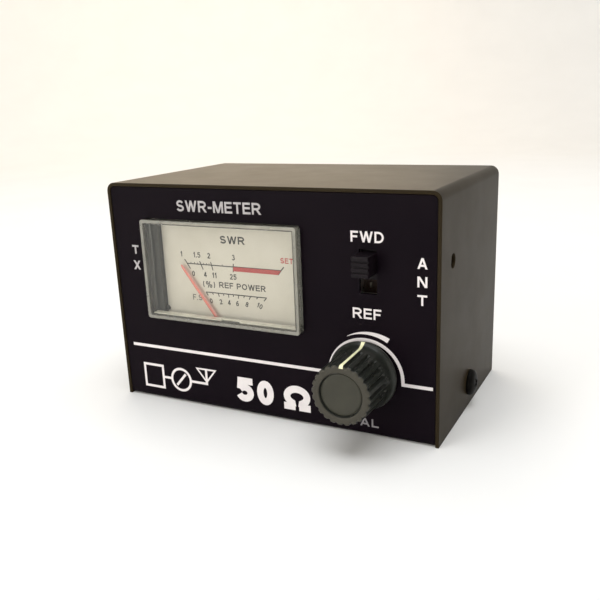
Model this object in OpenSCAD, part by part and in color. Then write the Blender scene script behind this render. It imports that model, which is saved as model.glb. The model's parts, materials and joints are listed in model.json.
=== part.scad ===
// SWR meter: a reflected-power bridge in a folded steel case, with a moving-coil
// meter, a forward/reflected slide switch, a calibration knob and two coaxial sockets.
// Origin: centre of the underside. +Z is up, the front panel faces -Y, +X is to the right.

/* [Case] */
// Outside width of the case
case_w = 100; // [99:0.5:112]
// Outside height of the case
case_h = 65.5; // [64.5:0.5:75]
// Outside depth of the case
case_d = 59.5; // [59:0.5:75]
// Thickness of the folded sheet
sheet_t = 1; // [0.8:0.1:1.2]
// Outside radius of the cover's folds
cover_fold_r = 2.5; // [2:0.1:3.5]
// How far the front and rear panels sit behind the cover's edges
panel_recess = 0.3; // [0.1:0.1:0.6]
// Height of the side screws above the underside
side_screw_z = 7; // [6:0.5:9]

/* [Meter] */
// Centre of the meter window, from the middle of the case
meter_x = -12.7; // [-13.5:0.1:-12]
// Height of the window's centre above the underside
meter_z = 41; // [40.5:0.1:42]
// Width of the clear window
window_w = 50; // [49:0.5:50]
// Height of the clear window
window_h = 29; // [28:0.5:29.5]
// How far the window stands out of the panel
window_proud = 2; // [1:0.1:3]
// Height of the pointer's pivot above the underside
pivot_z = 21.3; // [21:0.1:22]
// Length of the pointer from its pivot to its tip
pointer_len = 25.9; // [22:0.1:27]
// Angle of the resting pointer, anticlockwise from straight up
pointer_rest = 36.7; // [30:0.1:40]

/* [Slide switch] */
// Centre of the switch slot, from the middle of the case
switch_x = 31.15; // [30:0.1:32]
// Height of the slot's centre above the underside
switch_z = 44.85; // [44:0.1:46]
// Width of the slot
slot_w = 4.8; // [4.6:0.1:5.2]
// Height of the slot
slot_h = 11.5; // [11:0.1:12]
// How far the actuator stands out of the panel
actuator_proud = 5.5; // [3:0.1:7]
// Travel of the actuator, from forward down to reflected
switch_travel = 4.6; // [4:0.1:4.8]

/* [Calibration knob] */
// Centre of the knob, from the middle of the case
knob_x = 29.7; // [29:0.1:31]
// Height of the knob's centre above the underside
knob_z = 17.4; // [17:0.1:18]
// Height of the knob from the panel to its face
knob_h = 15.5; // [14:0.1:18]
// Radius of the knob's skirt
skirt_r = 9.35; // [9.2:0.05:10]
// Radius of the knob's face
face_r = 7.9; // [7.4:0.05:8]
// Number of flutes round the knob
flutes = 24; // [16:2:24]

/* [Coaxial sockets] */
// Distance from the middle of the case to each socket
socket_x = 26; // [24:0.5:27]
// Height of the sockets above the underside
socket_z = 30; // [28:0.5:34]
// Radius of the threaded barrel
barrel_r = 7.9; // [7.8:0.05:7.95]
// Length of the threaded barrel outside its flange
barrel_len = 13; // [11:0.5:15]

/* [Antenna jack] */
// Distance of the jack's hole behind the front edge of the cover
jack_back = 10.3; // [9.5:0.1:11]
// Height of the jack's hole above the underside
jack_z = 46.8; // [45:0.1:48]
// Radius of the jack's bore
jack_r = 1.8; // [1.6:0.05:1.8]

/* [Hidden] */
$fn = 48;
eps = 0.02;
slip = 0.05;        // radial clearance of every shaft that turns
fold_gap = 0.15;    // clearance between the cover and the chassis

// The folded sheets
front_y = -case_d / 2;
panel_y = front_y + panel_recess;
panel_back = panel_y + sheet_t;
rear_y = case_d / 2 - panel_recess;
rear_inside = rear_y - sheet_t;
inner_w = case_w - 2 * (sheet_t + fold_gap);
inner_h = case_h - sheet_t - fold_gap;
chassis_fold_r = sheet_t + 0.6;
flange_d = 15.5;
flange_foot = 6;
flange_top = inner_h - 4;
tab_w = 18;
tab_h = 13;

// Fasteners
m3_r = 1.5;
m3_hole_r = 1.65;
m3_head_r = 2.75;
m3_head_h = 1.9;
m3_nut_r = 5.5 / sqrt(3);
m3_nut_h = 2.4;
m4_r = 1.95;
m4_hole_r = 2.0;
m4_clear_r = 2.25;
m4_head_r = 3.7;
m4_head_h = 2.1;
m4_len = 6;

// Meter
window_wall = 1.2;
window_fit = 0.15;
window_front = front_y - window_proud;
window_corner = 0.8;
flange_w = 53;
flange_low = 9.5;
flange_high = 57.5;
flange_t = 1.2;
flange_mid = (flange_low + flange_high) / 2;
housing_front = panel_back + flange_t;
housing_floor = housing_front + 4.8;
housing_back = housing_floor + 1.2;
dial_opening_w = 44.6;
dial_opening_low = 13.2;
dial_opening_high = 54.3;
dial_y = front_y + 4;
dial_t = 0.5;
dial_w = 44.3;
dial_low = 15.2;
dial_high = 54.1;
dial_cut_r = 4.8;
dial_boss_x = 18;
dial_boss_low = 18.6;
dial_boss_high = 50;
dial_boss_r = 2;
dial_screw_r = 0.7;
dial_screw_head_r = 1.4;
dial_peg_x = -22;
dial_peg_z = 28.2;
dial_peg_r = 0.6;
latch_slot_x = meter_x + 2.8;
latch_slot_w = 6;
drum_r = 11;
drum_inner_r = 9.1;
drum_floor = housing_back + 13.6;
drum_back = drum_floor + 1.2;
core_front = housing_floor + 1.85;
core_len = 8;
core_back = core_front + core_len;
magnet_r = 5;
yoke_inner_r = 7;
yoke_outer_r = 9;
coil_in_r = 5.5;
coil_out_r = 6.4;
coil_half_w = 1;
coil_end_t = 0.8;
coil_end_gap = 0.5;
bridge_t = 1;
bridge_half_h = 1.8;
bridge_post_x = 8;
bridge_post_r = 0.9;
front_bridge_y = core_front - 4;
rear_bridge_y = core_back + 2.4;
jewel_r = 0.9;
jewel_len = 1.7;
front_jewel_y = front_bridge_y - 0.5;
rear_jewel_y = rear_bridge_y - 0.3;
pivot_shaft_r = 0.35;
pivot_socket_depth = 0.6;
pointer_y = housing_front + 0.4;
pointer_t = 0.3;
hub_y = core_front - 2.35;
hub_t = 0.5;
hub_r = 1.2;
step_in = 3.8;
step_out = 4.4;
balance_r = 5;
spring_in_r = 0.9;
spring_pitch = 0.55;
spring_turns = 4;
spring_h = 0.3;
spring_wall = 0.16;
terminal_x = 5;
strap_w = 67;
strap_h = 12;
strap_t = 1.2;
strap_z = 39;
strap_stud_x = 30.5;
strap_stud_len = 12.5;

// Switch
switch_frame_w = 8.4;
switch_frame_h = 28.6;
switch_frame_t = 0.7;
switch_box_h = 19;
switch_box_back = panel_back + 7.4;
switch_stud_z = 11.3;
switch_stud_len = 5;
switch_rest_z = switch_z + switch_travel / 2;
actuator_w = 4.5;
actuator_h = 5.3;
slider_w = 6.6;
slider_h = 9.6;
slider_front = panel_back + switch_frame_t + 0.3;
slider_back = slider_front + 3;
switch_base_front = slider_back + 1.6;
switch_base_t = 1.6;
switch_rows = [-5, 0, 5];
switch_cols = [-1.8, 1.8];

// Potentiometer and knob
pot_r = 8.5;
pot_wall = 0.45;
pot_plate_t = 1;
pot_case_back = panel_back + 8.5;
bush_r = 3.5;
bush_front = panel_y - 6;
shaft_r = 3;
washer_r = 6;
washer_t = 0.5;
pot_nut_r = 10 / sqrt(3);
pot_nut_h = 2;
track_front = panel_back + pot_plate_t + eps;
track_t = 1.2;
rotor_front = track_front + track_t + 0.3;
rotor_t = 1.6;
rotor_r = 6;
pot_lug_x = 5;
knob_base = panel_y - 0.8;
knob_face = panel_y - knob_h;
knob_insert_r = 4.8;
knob_insert_front = knob_face + 2.2;
knob_insert_back = bush_front - 0.5;
knob_hollow_r = 7.2;
knob_hollow_depth = 3.2;
knob_recess_r = 5.6;
knob_recess_depth = 0.7;
knob_pointer_w = 1.2;
knob_pointer_t = 0.12;
knob_pointer_turn = -3;
flute_r = 0.75;
grub_r = 1.5;
grub_y = (knob_insert_front + knob_insert_back) / 2;

// Sockets
flange_side = 25.4;
flange_thick = 2;
flange_hole = 9.1;
spigot_r = 5.8;
spigot_len = 3.5;
mouth_r = 6.15;
mouth_depth = 8;
socket_out = rear_y + flange_thick;
socket_end = socket_out + barrel_len;
contact_out_r = 3;
contact_bore_r = 2.05;
contact_bore_len = 12;
contact_set = 1.5;
cup_r = 2.2;

// Coupler board
board_w = 84;
board_low = 18;
board_high = 50;
board_t = 1.6;
board_back = rear_inside - 8;
board_front = board_back - board_t;
cup_end = board_front - 1;
spacer_z = [21.5, 46.5];
spacer_r = 6 / sqrt(3);
copper_t = 0.4;
line_h = 3;
pickup_h = 1.2;
pickup_gap = 4.4;
pickup_w = 40;
diode_x = 15;
diode_z = 40;
resistor_z = 22.5;
capacitor_z = 45;
lead_r = 0.3;
part_y = board_front - 1.6;

// Antenna jack
jack_y = front_y + jack_back;
jack_body_r = 4;
jack_body_len = 11;
jack_spigot_r = 2.95;
jack_in = inner_w / 2 - sheet_t;

// Wires, each a row of points from one solder joint to the other
wire_r = 0.6;
wire_sides = 8;
wire_steps = 2;
solder_gap = 0.12;   // from each lug to the end of its wire
switch_lug_y = switch_base_front + 6.6 + solder_gap;
meter_lug_y = drum_back + 4.6 + solder_gap;
pot_lug_y = track_front + 0.9 + solder_gap;
jack_lug_y = jack_y + jack_body_r + 3.2 + solder_gap;
forward_route = [[21, board_front, 40], [21, 15, 40], [25, 8, 46], [28.5, -4, 50],
    [29.35, -12, 49.85], [29.35, switch_lug_y, 49.85]];
reflected_route = [[-21, board_front, 40], [-21, 13, 41], [-15, 9, 52], [2, 6, 56],
    [20, 2, 55], [28.5, -7, 46], [29.35, -12.5, 39.85], [29.35, switch_lug_y, 39.85]];
wiper_route = [[32.95, switch_lug_y, 44.85], [33.5, -11, 43.5], [40, -8, 38], [43, -10, 24],
    [41, -16, 9], [35.5, -22, 5.4], [34.7, pot_lug_y, 5.2]];
calibration_route = [[29.7, pot_lug_y, 5.2], [29.7, -21.5, 5], [20, -12, 4.5], [2, 0, 10],
    [-6, 4, 17.5], [-7.7, 2, 21.3], [-7.7, meter_lug_y, 21.3]];
return_route = [[-17.7, meter_lug_y, 21.3], [-17.7, 2, 21], [-19, 3, 13], [-8, -3, 4],
    [14, -16, 4], [24.7, -22, 4.6], [24.7, pot_lug_y, 5.2]];
antenna_route = [[39, jack_lug_y, 46.8], [39, -8, 47], [36.5, 0, 51], [26, 9, 53],
    [11, 14.5, 45], [9, 15.5, 42], [9, board_front, 42]];

// A point between b and c on a smooth curve through a, b, c and d.
function on_curve(a, b, c, d, t) = 0.5 * (2 * b + (c - a) * t
    + (2 * a - 5 * b + 4 * c - d) * t * t + (3 * b - a - 3 * c + d) * t * t * t);

// The route with wire_steps points for each of its stretches.
function smooth(route) = let (last = len(route) - 1) [
    for (i = [0:last - 1], j = [0:wire_steps - 1])
        on_curve(route[max(i - 1, 0)], route[i], route[i + 1], route[min(i + 2, last)],
            j / wire_steps),
    route[last]
];

function unit(v) = v / norm(v);
function across(v, along) = unit(v - (v * along) * along);
function directions(line) = let (last = len(line) - 1) [
    for (i = [0:last]) unit(line[min(i + 1, last)] - line[max(i - 1, 0)])
];

// A sideways direction at each point, carried along without twist.
function sideways(along) = [
    for (i = 0, s = across([1, 0.3, 0.5], along[0]); i < len(along);
        i = i + 1, s = i < len(along) ? across(s, along[i]) : s) s
];

// Sweeps a round wire along a route.
module wire(route) {
    line = smooth(route);
    along = directions(line);
    side = sideways(along);
    ends = len(line) - 1;
    points = [for (i = [0:ends], k = [0:wire_sides - 1])
        let (turn = k * 360 / wire_sides)
        line[i] + wire_r * (cos(turn) * side[i] + sin(turn) * cross(along[i], side[i]))];
    walls = [for (i = [0:ends - 1], k = [0:wire_sides - 1])
        let (a = i * wire_sides + k, b = i * wire_sides + (k + 1) % wire_sides)
        [a, a + wire_sides, b + wire_sides, b]];
    start = [for (k = [0:wire_sides - 1]) k];
    end = [for (k = [wire_sides - 1:-1:0]) ends * wire_sides + k];
    polyhedron(points, concat(walls, [start, end]));
}

// A cylinder along Y, from y0 to y1.
module rod_y(x, z, y0, y1, r) {
    translate([x, y1, z]) rotate([90, 0, 0]) cylinder(h = y1 - y0, r = r);
}

// A tube along Y.
module tube_y(x, z, y0, y1, r_out, r_in) {
    difference() {
        rod_y(x, z, y0, y1, r_out);
        rod_y(x, z, y0 - 1, y1 + 1, r_in);
    }
}

// A hexagon nut along Y. r is the radius over its corners.
module nut_y(x, z, y0, h, r, hole_r) {
    difference() {
        translate([x, y0 + h, z]) rotate([90, 0, 0]) cylinder(h = h, r = r, $fn = 6);
        rod_y(x, z, y0 - 1, y0 + h + 1, hole_r);
    }
}

// A box from its lowest to its highest corner.
module block(low, high) {
    translate(low) cube(high - low);
}

// A slab that fills a rectangle in XZ, centred on x and z, from y0 to y1.
module slab(x, z, w, h, y0, y1) {
    block([x - w / 2, y0, z - h / 2], [x + w / 2, y1, z + h / 2]);
}

// A rectangle with round corners, centred on the origin.
module round_rect(w, h, r) {
    square([w - 2 * r, h], center = true);
    square([w, h - 2 * r], center = true);
    for (x = [-1, 1], y = [-1, 1])
        translate([x * (w / 2 - r), y * (h / 2 - r)]) circle(r);
}

// A rectangle that stands on the origin, with its two upper corners rounded.
module arch(w, h, r) {
    translate([-w / 2, 0]) square([w, h - r]);
    translate([-w / 2 + r, 0]) square([w - 2 * r, h]);
    for (x = [-1, 1])
        translate([x * (w / 2 - r), h - r]) circle(r);
}

// Carries a shape drawn in XZ to a plate from y0 to y1.
module plate_y(x, z, y0, y1) {
    translate([x, y1, z]) rotate([90, 0, 0]) linear_extrude(y1 - y0) children();
}

// Turns its children with the resting pointer, about the meter's pivot.
module at_pivot() {
    translate([meter_x, 0, pivot_z]) rotate([0, -pointer_rest, 0]) children();
}

// ---- Case ----

module folded_sheet() {
    depth = rear_y - panel_y;
    intersection() {
        translate([-inner_w / 2, 0, 0])
            rotate([90, 0, 90]) linear_extrude(inner_w) difference() {
                translate([0, inner_h]) mirror([0, 1]) arch(depth, inner_h, chassis_fold_r);
                translate([0, inner_h + 1]) mirror([0, 1])
                    arch(depth - 2 * sheet_t, inner_h + 1 - sheet_t, chassis_fold_r - sheet_t);
            }
        plate_y(0, 0, front_y, -front_y)
            arch(inner_w, inner_h, cover_fold_r - sheet_t - fold_gap);
    }
}

module chassis() {
    color("#1c1519") difference() {
        union() {
            folded_sheet();
            for (side = [-1, 1]) {
                translate([side * (inner_w - sheet_t) / 2, 0, 0]) {
                    block([-sheet_t / 2, panel_back - eps, flange_foot],
                        [sheet_t / 2, panel_y + flange_d, flange_top]);
                    block([-sheet_t / 2, -tab_w / 2, sheet_t - eps],
                        [sheet_t / 2, tab_w / 2, tab_h]);
                }
            }
        }
        // window, slot and potentiometer hole in the front panel
        plate_y(meter_x, meter_z, panel_y - 1, panel_back + 0.5)
            round_rect(window_w + 2 * window_fit, window_h + 2 * window_fit,
                window_corner + window_fit);
        slab(switch_x, switch_z, slot_w, slot_h, panel_y - 1, panel_back + 0.5);
        rod_y(knob_x, knob_z, panel_y - 1, panel_back + 1, bush_r + slip);
        // socket and spacer holes in the rear panel
        for (side = [-1, 1]) {
            rod_y(side * socket_x, socket_z, rear_inside - 1, rear_y + 1, spigot_r + 0.2);
            for (dx = [-1, 1], dz = [-1, 1])
                rod_y(side * socket_x + dx * flange_hole, socket_z + dz * flange_hole,
                    rear_inside - 1, rear_y + 1, m3_hole_r);
        }
        for (z = spacer_z) rod_y(0, z, rear_inside - 1, rear_y + 1, m3_hole_r);
        // tapped holes of the side screws, and the jack's hole in the right flange
        translate([-inner_w / 2 - 1, 0, side_screw_z]) rotate([0, 90, 0])
            cylinder(h = inner_w + 2, r = m4_hole_r);
        translate([jack_in - 1, jack_y, jack_z]) rotate([0, 90, 0])
            cylinder(h = sheet_t + 2, r = jack_spigot_r + 0.1);
    }
}

module panel_studs() {
    color("silver") {
        for (side = [-1, 1]) {
            rod_y(meter_x + side * strap_stud_x, strap_z, panel_back,
                panel_back + strap_stud_len, m3_r);
            rod_y(switch_x, switch_z + side * switch_stud_z, panel_back,
                panel_back + switch_stud_len, m3_r);
        }
    }
}

module cover() {
    color("#241c20") difference() {
        plate_y(0, 0, front_y, -front_y) difference() {
            arch(case_w, case_h, cover_fold_r);
            translate([0, -1])
                arch(case_w - 2 * sheet_t, case_h + 1 - sheet_t, cover_fold_r - sheet_t);
        }
        translate([-case_w / 2 - 1, 0, side_screw_z]) rotate([0, 90, 0])
            cylinder(h = case_w + 2, r = m4_clear_r);
        translate([case_w / 2 - sheet_t - 1, jack_y, jack_z]) rotate([0, 90, 0])
            cylinder(h = sheet_t + 2, r = jack_r + 0.1);
    }
}

// A cross-recessed pan-head screw along +X, with its head's underside at the origin.
module side_screw() {
    difference() {
        union() {
            rotate([0, 90, 0]) cylinder(h = m4_head_h, r1 = m4_head_r, r2 = m4_head_r - 0.9);
            rotate([0, -90, 0]) cylinder(h = m4_len, r = m4_r);
        }
        for (turn = [0, 90])
            translate([m4_head_h, 0, 0]) rotate([turn, 0, 0])
                cube([2.4, 0.9, 3.6], center = true);
    }
}

module cover_screws() {
    color("#17120f") for (turn = [0, 180])
        rotate([0, 0, turn]) translate([case_w / 2, 0, side_screw_z]) side_screw();
}

// ---- Moving-coil meter ----

module meter_window() {
    inner = [window_w - 2 * window_wall, window_h - 2 * window_wall];
    color([0.85, 0.88, 0.88, 0.35]) difference() {
        union() {
            plate_y(meter_x, meter_z, window_front, panel_back + eps)
                round_rect(window_w, window_h, window_corner);
            slab(meter_x, flange_mid, flange_w, flange_high - flange_low,
                panel_back, housing_front);
        }
        slab(meter_x, meter_z, inner.x, inner.y, window_front + window_wall, housing_front + 1);
        // way down to the pivot behind the lower wall
        slab(meter_x, (meter_z + dial_opening_low) / 2, inner.x,
            meter_z - dial_opening_low, panel_back + 0.4, housing_front + 1);
        block([latch_slot_x - latch_slot_w / 2, front_y - 1.2, meter_z - window_h / 2 - 1],
            [latch_slot_x + latch_slot_w / 2, front_y - 0.4, meter_z - window_h / 2 + 0.7]);
    }
}

module meter_housing() {
    opening_h = dial_opening_high - dial_opening_low;
    opening_z = (dial_opening_high + dial_opening_low) / 2;
    color("#16130f") {
        difference() {
            union() {
                slab(meter_x, flange_mid, flange_w, flange_high - flange_low,
                    housing_front, housing_back);
                rod_y(meter_x, pivot_z, housing_floor, drum_back, drum_r);
            }
            slab(meter_x, opening_z, dial_opening_w, opening_h, housing_front - 1, housing_floor);
            rod_y(meter_x, pivot_z, housing_floor - 1, drum_floor, drum_inner_r);
            for (side = [-1, 1])
                slab(meter_x + side * terminal_x, pivot_z, 1, 2.4, drum_floor - 1, drum_back + 1);
        }
        for (x = [-1, 1]) {
            tube_y(meter_x + x * dial_boss_x, dial_boss_low, dial_y + dial_t, housing_floor + eps,
                dial_boss_r, dial_screw_r);
            rod_y(meter_x + x * dial_boss_x, dial_boss_high, dial_y + dial_t,
                housing_floor + eps, dial_boss_r);
        }
        rod_y(meter_x + dial_peg_x, dial_peg_z, dial_y - 0.5, housing_floor + eps, dial_peg_r);
    }
}

module dial_plate() {
    color("#e6dfcd") difference() {
        slab(meter_x, (dial_low + dial_high) / 2, dial_w, dial_high - dial_low,
            dial_y, dial_y + dial_t);
        rod_y(meter_x, pivot_z, dial_y - 1, dial_y + 1, dial_cut_r);
        slab(meter_x, dial_low, 2 * dial_cut_r, 2 * (pivot_z - dial_low), dial_y - 1, dial_y + 1);
        for (side = [-1, 1])
            rod_y(meter_x + side * dial_boss_x, dial_boss_low, dial_y - 1, dial_y + 1,
                dial_screw_r + 0.1);
        rod_y(meter_x + dial_peg_x, dial_peg_z, dial_y - 1, dial_y + 1, dial_peg_r + 0.1);
    }
}

module dial_screws() {
    color("silver") for (side = [-1, 1]) {
        rod_y(meter_x + side * dial_boss_x, dial_boss_low, dial_y - 0.7, dial_y,
            dial_screw_head_r);
        rod_y(meter_x + side * dial_boss_x, dial_boss_low, dial_y - eps, dial_y + 2.8,
            dial_screw_r - eps);
    }
}

module meter_yoke() {
    color("#8a8d90") tube_y(meter_x, pivot_z, core_front, core_back, yoke_outer_r, yoke_inner_r);
}

module meter_magnet() {
    color("#5b5e63") rod_y(meter_x, pivot_z, core_front, core_back, magnet_r);
}

// Two bridges of brass that hold the core magnet in the yoke, clear of the coil's swing.
module core_supports() {
    color("#b8934a") intersection() {
        slab(meter_x, pivot_z, 2 * yoke_outer_r, 2.4, core_front + 1, core_back - 1);
        tube_y(meter_x, pivot_z, core_front, core_back, yoke_inner_r, magnet_r);
    }
}

// A bearing bridge across the movement, with a post down to the yoke at each end.
module bridge(y, post_from, post_to) {
    difference() {
        union() {
            slab(meter_x, pivot_z, 2 * bridge_post_x, 2 * bridge_half_h, y, y + bridge_t);
            for (side = [-1, 1])
                rod_y(meter_x + side * bridge_post_x, pivot_z, post_from, post_to,
                    bridge_post_r);
        }
        rod_y(meter_x, pivot_z, y - 1, y + bridge_t + 1, jewel_r);
    }
}

module front_bridge() {
    color("#b8934a") bridge(front_bridge_y, front_bridge_y, core_front);
}

module rear_bridge() {
    color("#b8934a") bridge(rear_bridge_y, core_back, rear_bridge_y + bridge_t);
}

module jewel_screws() {
    color("gold") {
        difference() {
            rod_y(meter_x, pivot_z, front_jewel_y, front_jewel_y + jewel_len, jewel_r);
            rod_y(meter_x, pivot_z, front_jewel_y + jewel_len - pivot_socket_depth,
                front_jewel_y + jewel_len + 1, pivot_shaft_r + slip);
        }
        difference() {
            rod_y(meter_x, pivot_z, rear_jewel_y, rear_jewel_y + jewel_len, jewel_r);
            rod_y(meter_x, pivot_z, rear_jewel_y - 1, rear_jewel_y + pivot_socket_depth,
                pivot_shaft_r + slip);
        }
    }
}

module meter_terminals() {
    color("#b8934a") for (side = [-1, 1])
        slab(meter_x + side * terminal_x, pivot_z, 0.9, 2.3, drum_floor - 0.4, drum_back + 4.6);
}

module meter_strap() {
    color("silver") difference() {
        plate_y(meter_x, strap_z, housing_back, housing_back + strap_t)
            round_rect(strap_w, strap_h, 2);
        for (side = [-1, 1])
            rod_y(meter_x + side * strap_stud_x, strap_z, housing_back - 1,
                housing_back + strap_t + 1, m3_hole_r);
    }
}

// Four equal nuts: two on the strap's studs and two on the switch's.
module panel_nuts() {
    color("silver") for (side = [-1, 1]) {
        nut_y(meter_x + side * strap_stud_x, strap_z, housing_back + strap_t, m3_nut_h,
            m3_nut_r, m3_r + eps);
        nut_y(switch_x, switch_z + side * switch_stud_z, panel_back + switch_frame_t, m3_nut_h,
            m3_nut_r, m3_r + eps);
    }
}

// ---- Moving parts of the meter ----

module pointer() {
    color("#d8504a") at_pivot() {
        tube_y(0, 0, hub_y, hub_y + hub_t, hub_r, pivot_shaft_r + eps);
        block([-0.4, hub_y, hub_r - 0.2], [0.4, hub_y + hub_t, step_out]);
        block([-0.4, pointer_y, step_in], [0.4, hub_y + hub_t, step_out]);
        plate_y(0, 0, pointer_y, pointer_y + pointer_t)
            polygon([[-0.45, step_in], [0.45, step_in], [0.22, pointer_len],
                [-0.22, pointer_len]]);
    }
}

// The coil is a closed loop round the core magnet, in a plane through the pivot.
module moving_coil() {
    coil_front = core_front - coil_end_gap;
    coil_back = core_back + coil_end_gap;
    color("#b4622f") at_pivot() difference() {
        block([-coil_half_w, coil_front - coil_end_t, -coil_out_r],
            [coil_half_w, coil_back + coil_end_t, coil_out_r]);
        block([-coil_half_w - 1, coil_front, -coil_in_r], [coil_half_w + 1, coil_back, coil_in_r]);
        rod_y(0, 0, coil_front - 2, coil_front + 1, pivot_shaft_r + eps);
        rod_y(0, 0, coil_back - 1, coil_back + 2, pivot_shaft_r + eps);
    }
}

// Two pivots, one cemented to each end of the coil.
module coil_shaft() {
    color("gainsboro") {
        rod_y(meter_x, pivot_z, front_jewel_y + jewel_len - pivot_socket_depth + 0.15,
            core_front - coil_end_gap, pivot_shaft_r);
        rod_y(meter_x, pivot_z, core_back + coil_end_gap,
            rear_jewel_y + pivot_socket_depth - 0.15, pivot_shaft_r);
    }
}

// A flat spiral of a few turns, made of half rings whose centres alternate.
module spiral() {
    for (i = [0:2 * spring_turns - 1]) {
        side = i % 2 == 0 ? 1 : -1;
        r = spring_in_r + i * spring_pitch / 2 + spring_pitch / 4;
        translate([i % 2 == 0 ? spring_pitch / 4 : -spring_pitch / 4, 0])
            intersection() {
                difference() {
                    circle(r + spring_wall / 2);
                    circle(r - spring_wall / 2);
                }
                translate([-2 * r, side > 0 ? 0 : -2 * r]) square([4 * r, 2 * r]);
            }
    }
}

module hairsprings() {
    color("#c08a3e") for (y = [hub_y - spring_h - 0.1, core_back + coil_end_gap + coil_end_t + 0.1])
        plate_y(meter_x, pivot_z, y, y + spring_h) {
            spiral();
            difference() {
                circle(spring_in_r + spring_wall);
                circle(pivot_shaft_r + eps);
            }
        }
}

// The cross arms behind the pointer, and the small weights that balance it.
module balance_weights() {
    color("#c9ccd0") at_pivot() for (angle = [90, 180, 270]) rotate([0, angle, 0]) {
        block([-0.35, hub_y, hub_r + eps], [0.35, hub_y + hub_t, balance_r]);
        rod_y(0, balance_r, hub_y - 0.1, hub_y + hub_t + 0.1, angle == 180 ? 1.1 : 0.7);
    }
}

// ---- Slide switch ----

module switch_frame() {
    color("#9a9da0") difference() {
        union() {
            slab(switch_x, switch_z, switch_frame_w, switch_frame_h, panel_back,
                panel_back + switch_frame_t);
            slab(switch_x, switch_z, switch_frame_w, switch_box_h, panel_back, switch_box_back);
        }
        slab(switch_x, switch_z, switch_frame_w - 1, switch_box_h + 1,
            panel_back + switch_frame_t, switch_box_back + 1);
        slab(switch_x, switch_z, slot_w, slot_h, panel_back - 1, panel_back + 1);
        for (side = [-1, 1])
            rod_y(switch_x, switch_z + side * switch_stud_z, panel_back - 1,
                panel_back + 1, m3_r + slip);
    }
}

module switch_base() {
    color("#8a5a32") difference() {
        slab(switch_x, switch_z, switch_frame_w - 1, switch_box_h, switch_base_front,
            switch_base_front + switch_base_t);
        for (dx = switch_cols, dz = switch_rows)
            slab(switch_x + dx, switch_z + dz, 0.5, 1.5, switch_base_front - 1,
                switch_base_front + switch_base_t + 1);
    }
}

module switch_terminals() {
    color("#b8934a") for (dx = switch_cols, dz = switch_rows)
        slab(switch_x + dx, switch_z + dz, 0.5, 1.5, switch_base_front - 0.4,
            switch_base_front + 6.6);
}

module switch_actuator() {
    tip = panel_y - actuator_proud;
    color("#241e22") difference() {
        union() {
            slab(switch_x, switch_rest_z, slider_w, slider_h, slider_front, slider_back);
            slab(switch_x, switch_rest_z, actuator_w, actuator_h, tip, slider_front + eps);
        }
        // three grooves leave four grip ridges on the face
        for (i = [-1, 0, 1])
            slab(switch_x, switch_rest_z + i * 1.35, actuator_w + 1, 0.55, tip - 1, tip + 0.5);
    }
}

module switch_contacts() {
    color("#c08a3e") for (dx = switch_cols)
        slab(switch_x + dx, switch_rest_z, 0.6, 6.4, slider_back, slider_back + 1);
}

// ---- Potentiometer and knob ----

module pot_bush() {
    color("#b7b9bb") difference() {
        union() {
            rod_y(knob_x, knob_z, panel_back, panel_back + pot_plate_t, pot_r - pot_wall - slip);
            rod_y(knob_x, knob_z, bush_front, panel_back + eps, bush_r);
        }
        rod_y(knob_x, knob_z, bush_front - 1, panel_back + pot_plate_t + 1, shaft_r + slip);
    }
}

module pot_case() {
    color("#a9abad") difference() {
        rod_y(knob_x, knob_z, panel_back, pot_case_back, pot_r);
        rod_y(knob_x, knob_z, panel_back - 1, pot_case_back - pot_wall, pot_r - pot_wall);
        slab(knob_x, knob_z - pot_r, 14, 8, panel_back + pot_plate_t - 0.2,
            track_front + track_t + 0.2);
    }
}

module pot_track() {
    color("#6b4a2c") difference() {
        rod_y(knob_x, knob_z, track_front, track_front + track_t, pot_r - pot_wall - slip);
        rod_y(knob_x, knob_z, track_front - 1, track_front + track_t + 1, shaft_r + 0.3);
        slab(knob_x, knob_z - pot_r, 14, 5, track_front - 1, track_front + track_t + 1);
    }
}

module pot_terminals() {
    color("#c9ccd0") for (i = [-1, 0, 1])
        block([knob_x + i * pot_lug_x - 0.9, track_front + 0.3, knob_z - pot_r - 4.4],
            [knob_x + i * pot_lug_x + 0.9, track_front + 0.9, knob_z - pot_r + 2.5]);
}

module pot_washer() {
    color("#c9ccd0")
        tube_y(knob_x, knob_z, panel_y - washer_t, panel_y, washer_r, bush_r + slip);
}

module pot_nut() {
    color("#c9ccd0") nut_y(knob_x, knob_z, panel_y - washer_t - pot_nut_h, pot_nut_h,
        pot_nut_r, bush_r + eps);
}

module pot_shaft() {
    color("#c3c6c9") rod_y(knob_x, knob_z, knob_insert_front + 0.3, rotor_front + rotor_t,
        shaft_r);
}

module pot_wiper() {
    color("#7a4f2b") {
        tube_y(knob_x, knob_z, rotor_front, rotor_front + rotor_t, rotor_r, shaft_r + eps);
        slab(knob_x, knob_z + rotor_r - 0.8, 1.6, 3, rotor_front + 0.4, rotor_front + 1);
    }
}

// Half the knob's outline, radius against height above the panel, grown by skin.
module knob_outline(skin) {
    skirt_top = 1.8;
    body_foot = 3.6;
    polygon([[0, 0.8], [skirt_r + skin, 0.8], [skirt_r + skin, skirt_top + skin / 2],
        [face_r + 0.75 + skin, body_foot + skin], [face_r + skin, knob_h - 0.5],
        [face_r - 0.5 + skin / 2, knob_h + skin], [0, knob_h + skin]]);
}

// Stands a shape turned about Z on the panel, so that its height runs towards the front.
module on_panel() {
    translate([knob_x, panel_y, knob_z]) rotate([90, 0, 0]) children();
}

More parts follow.
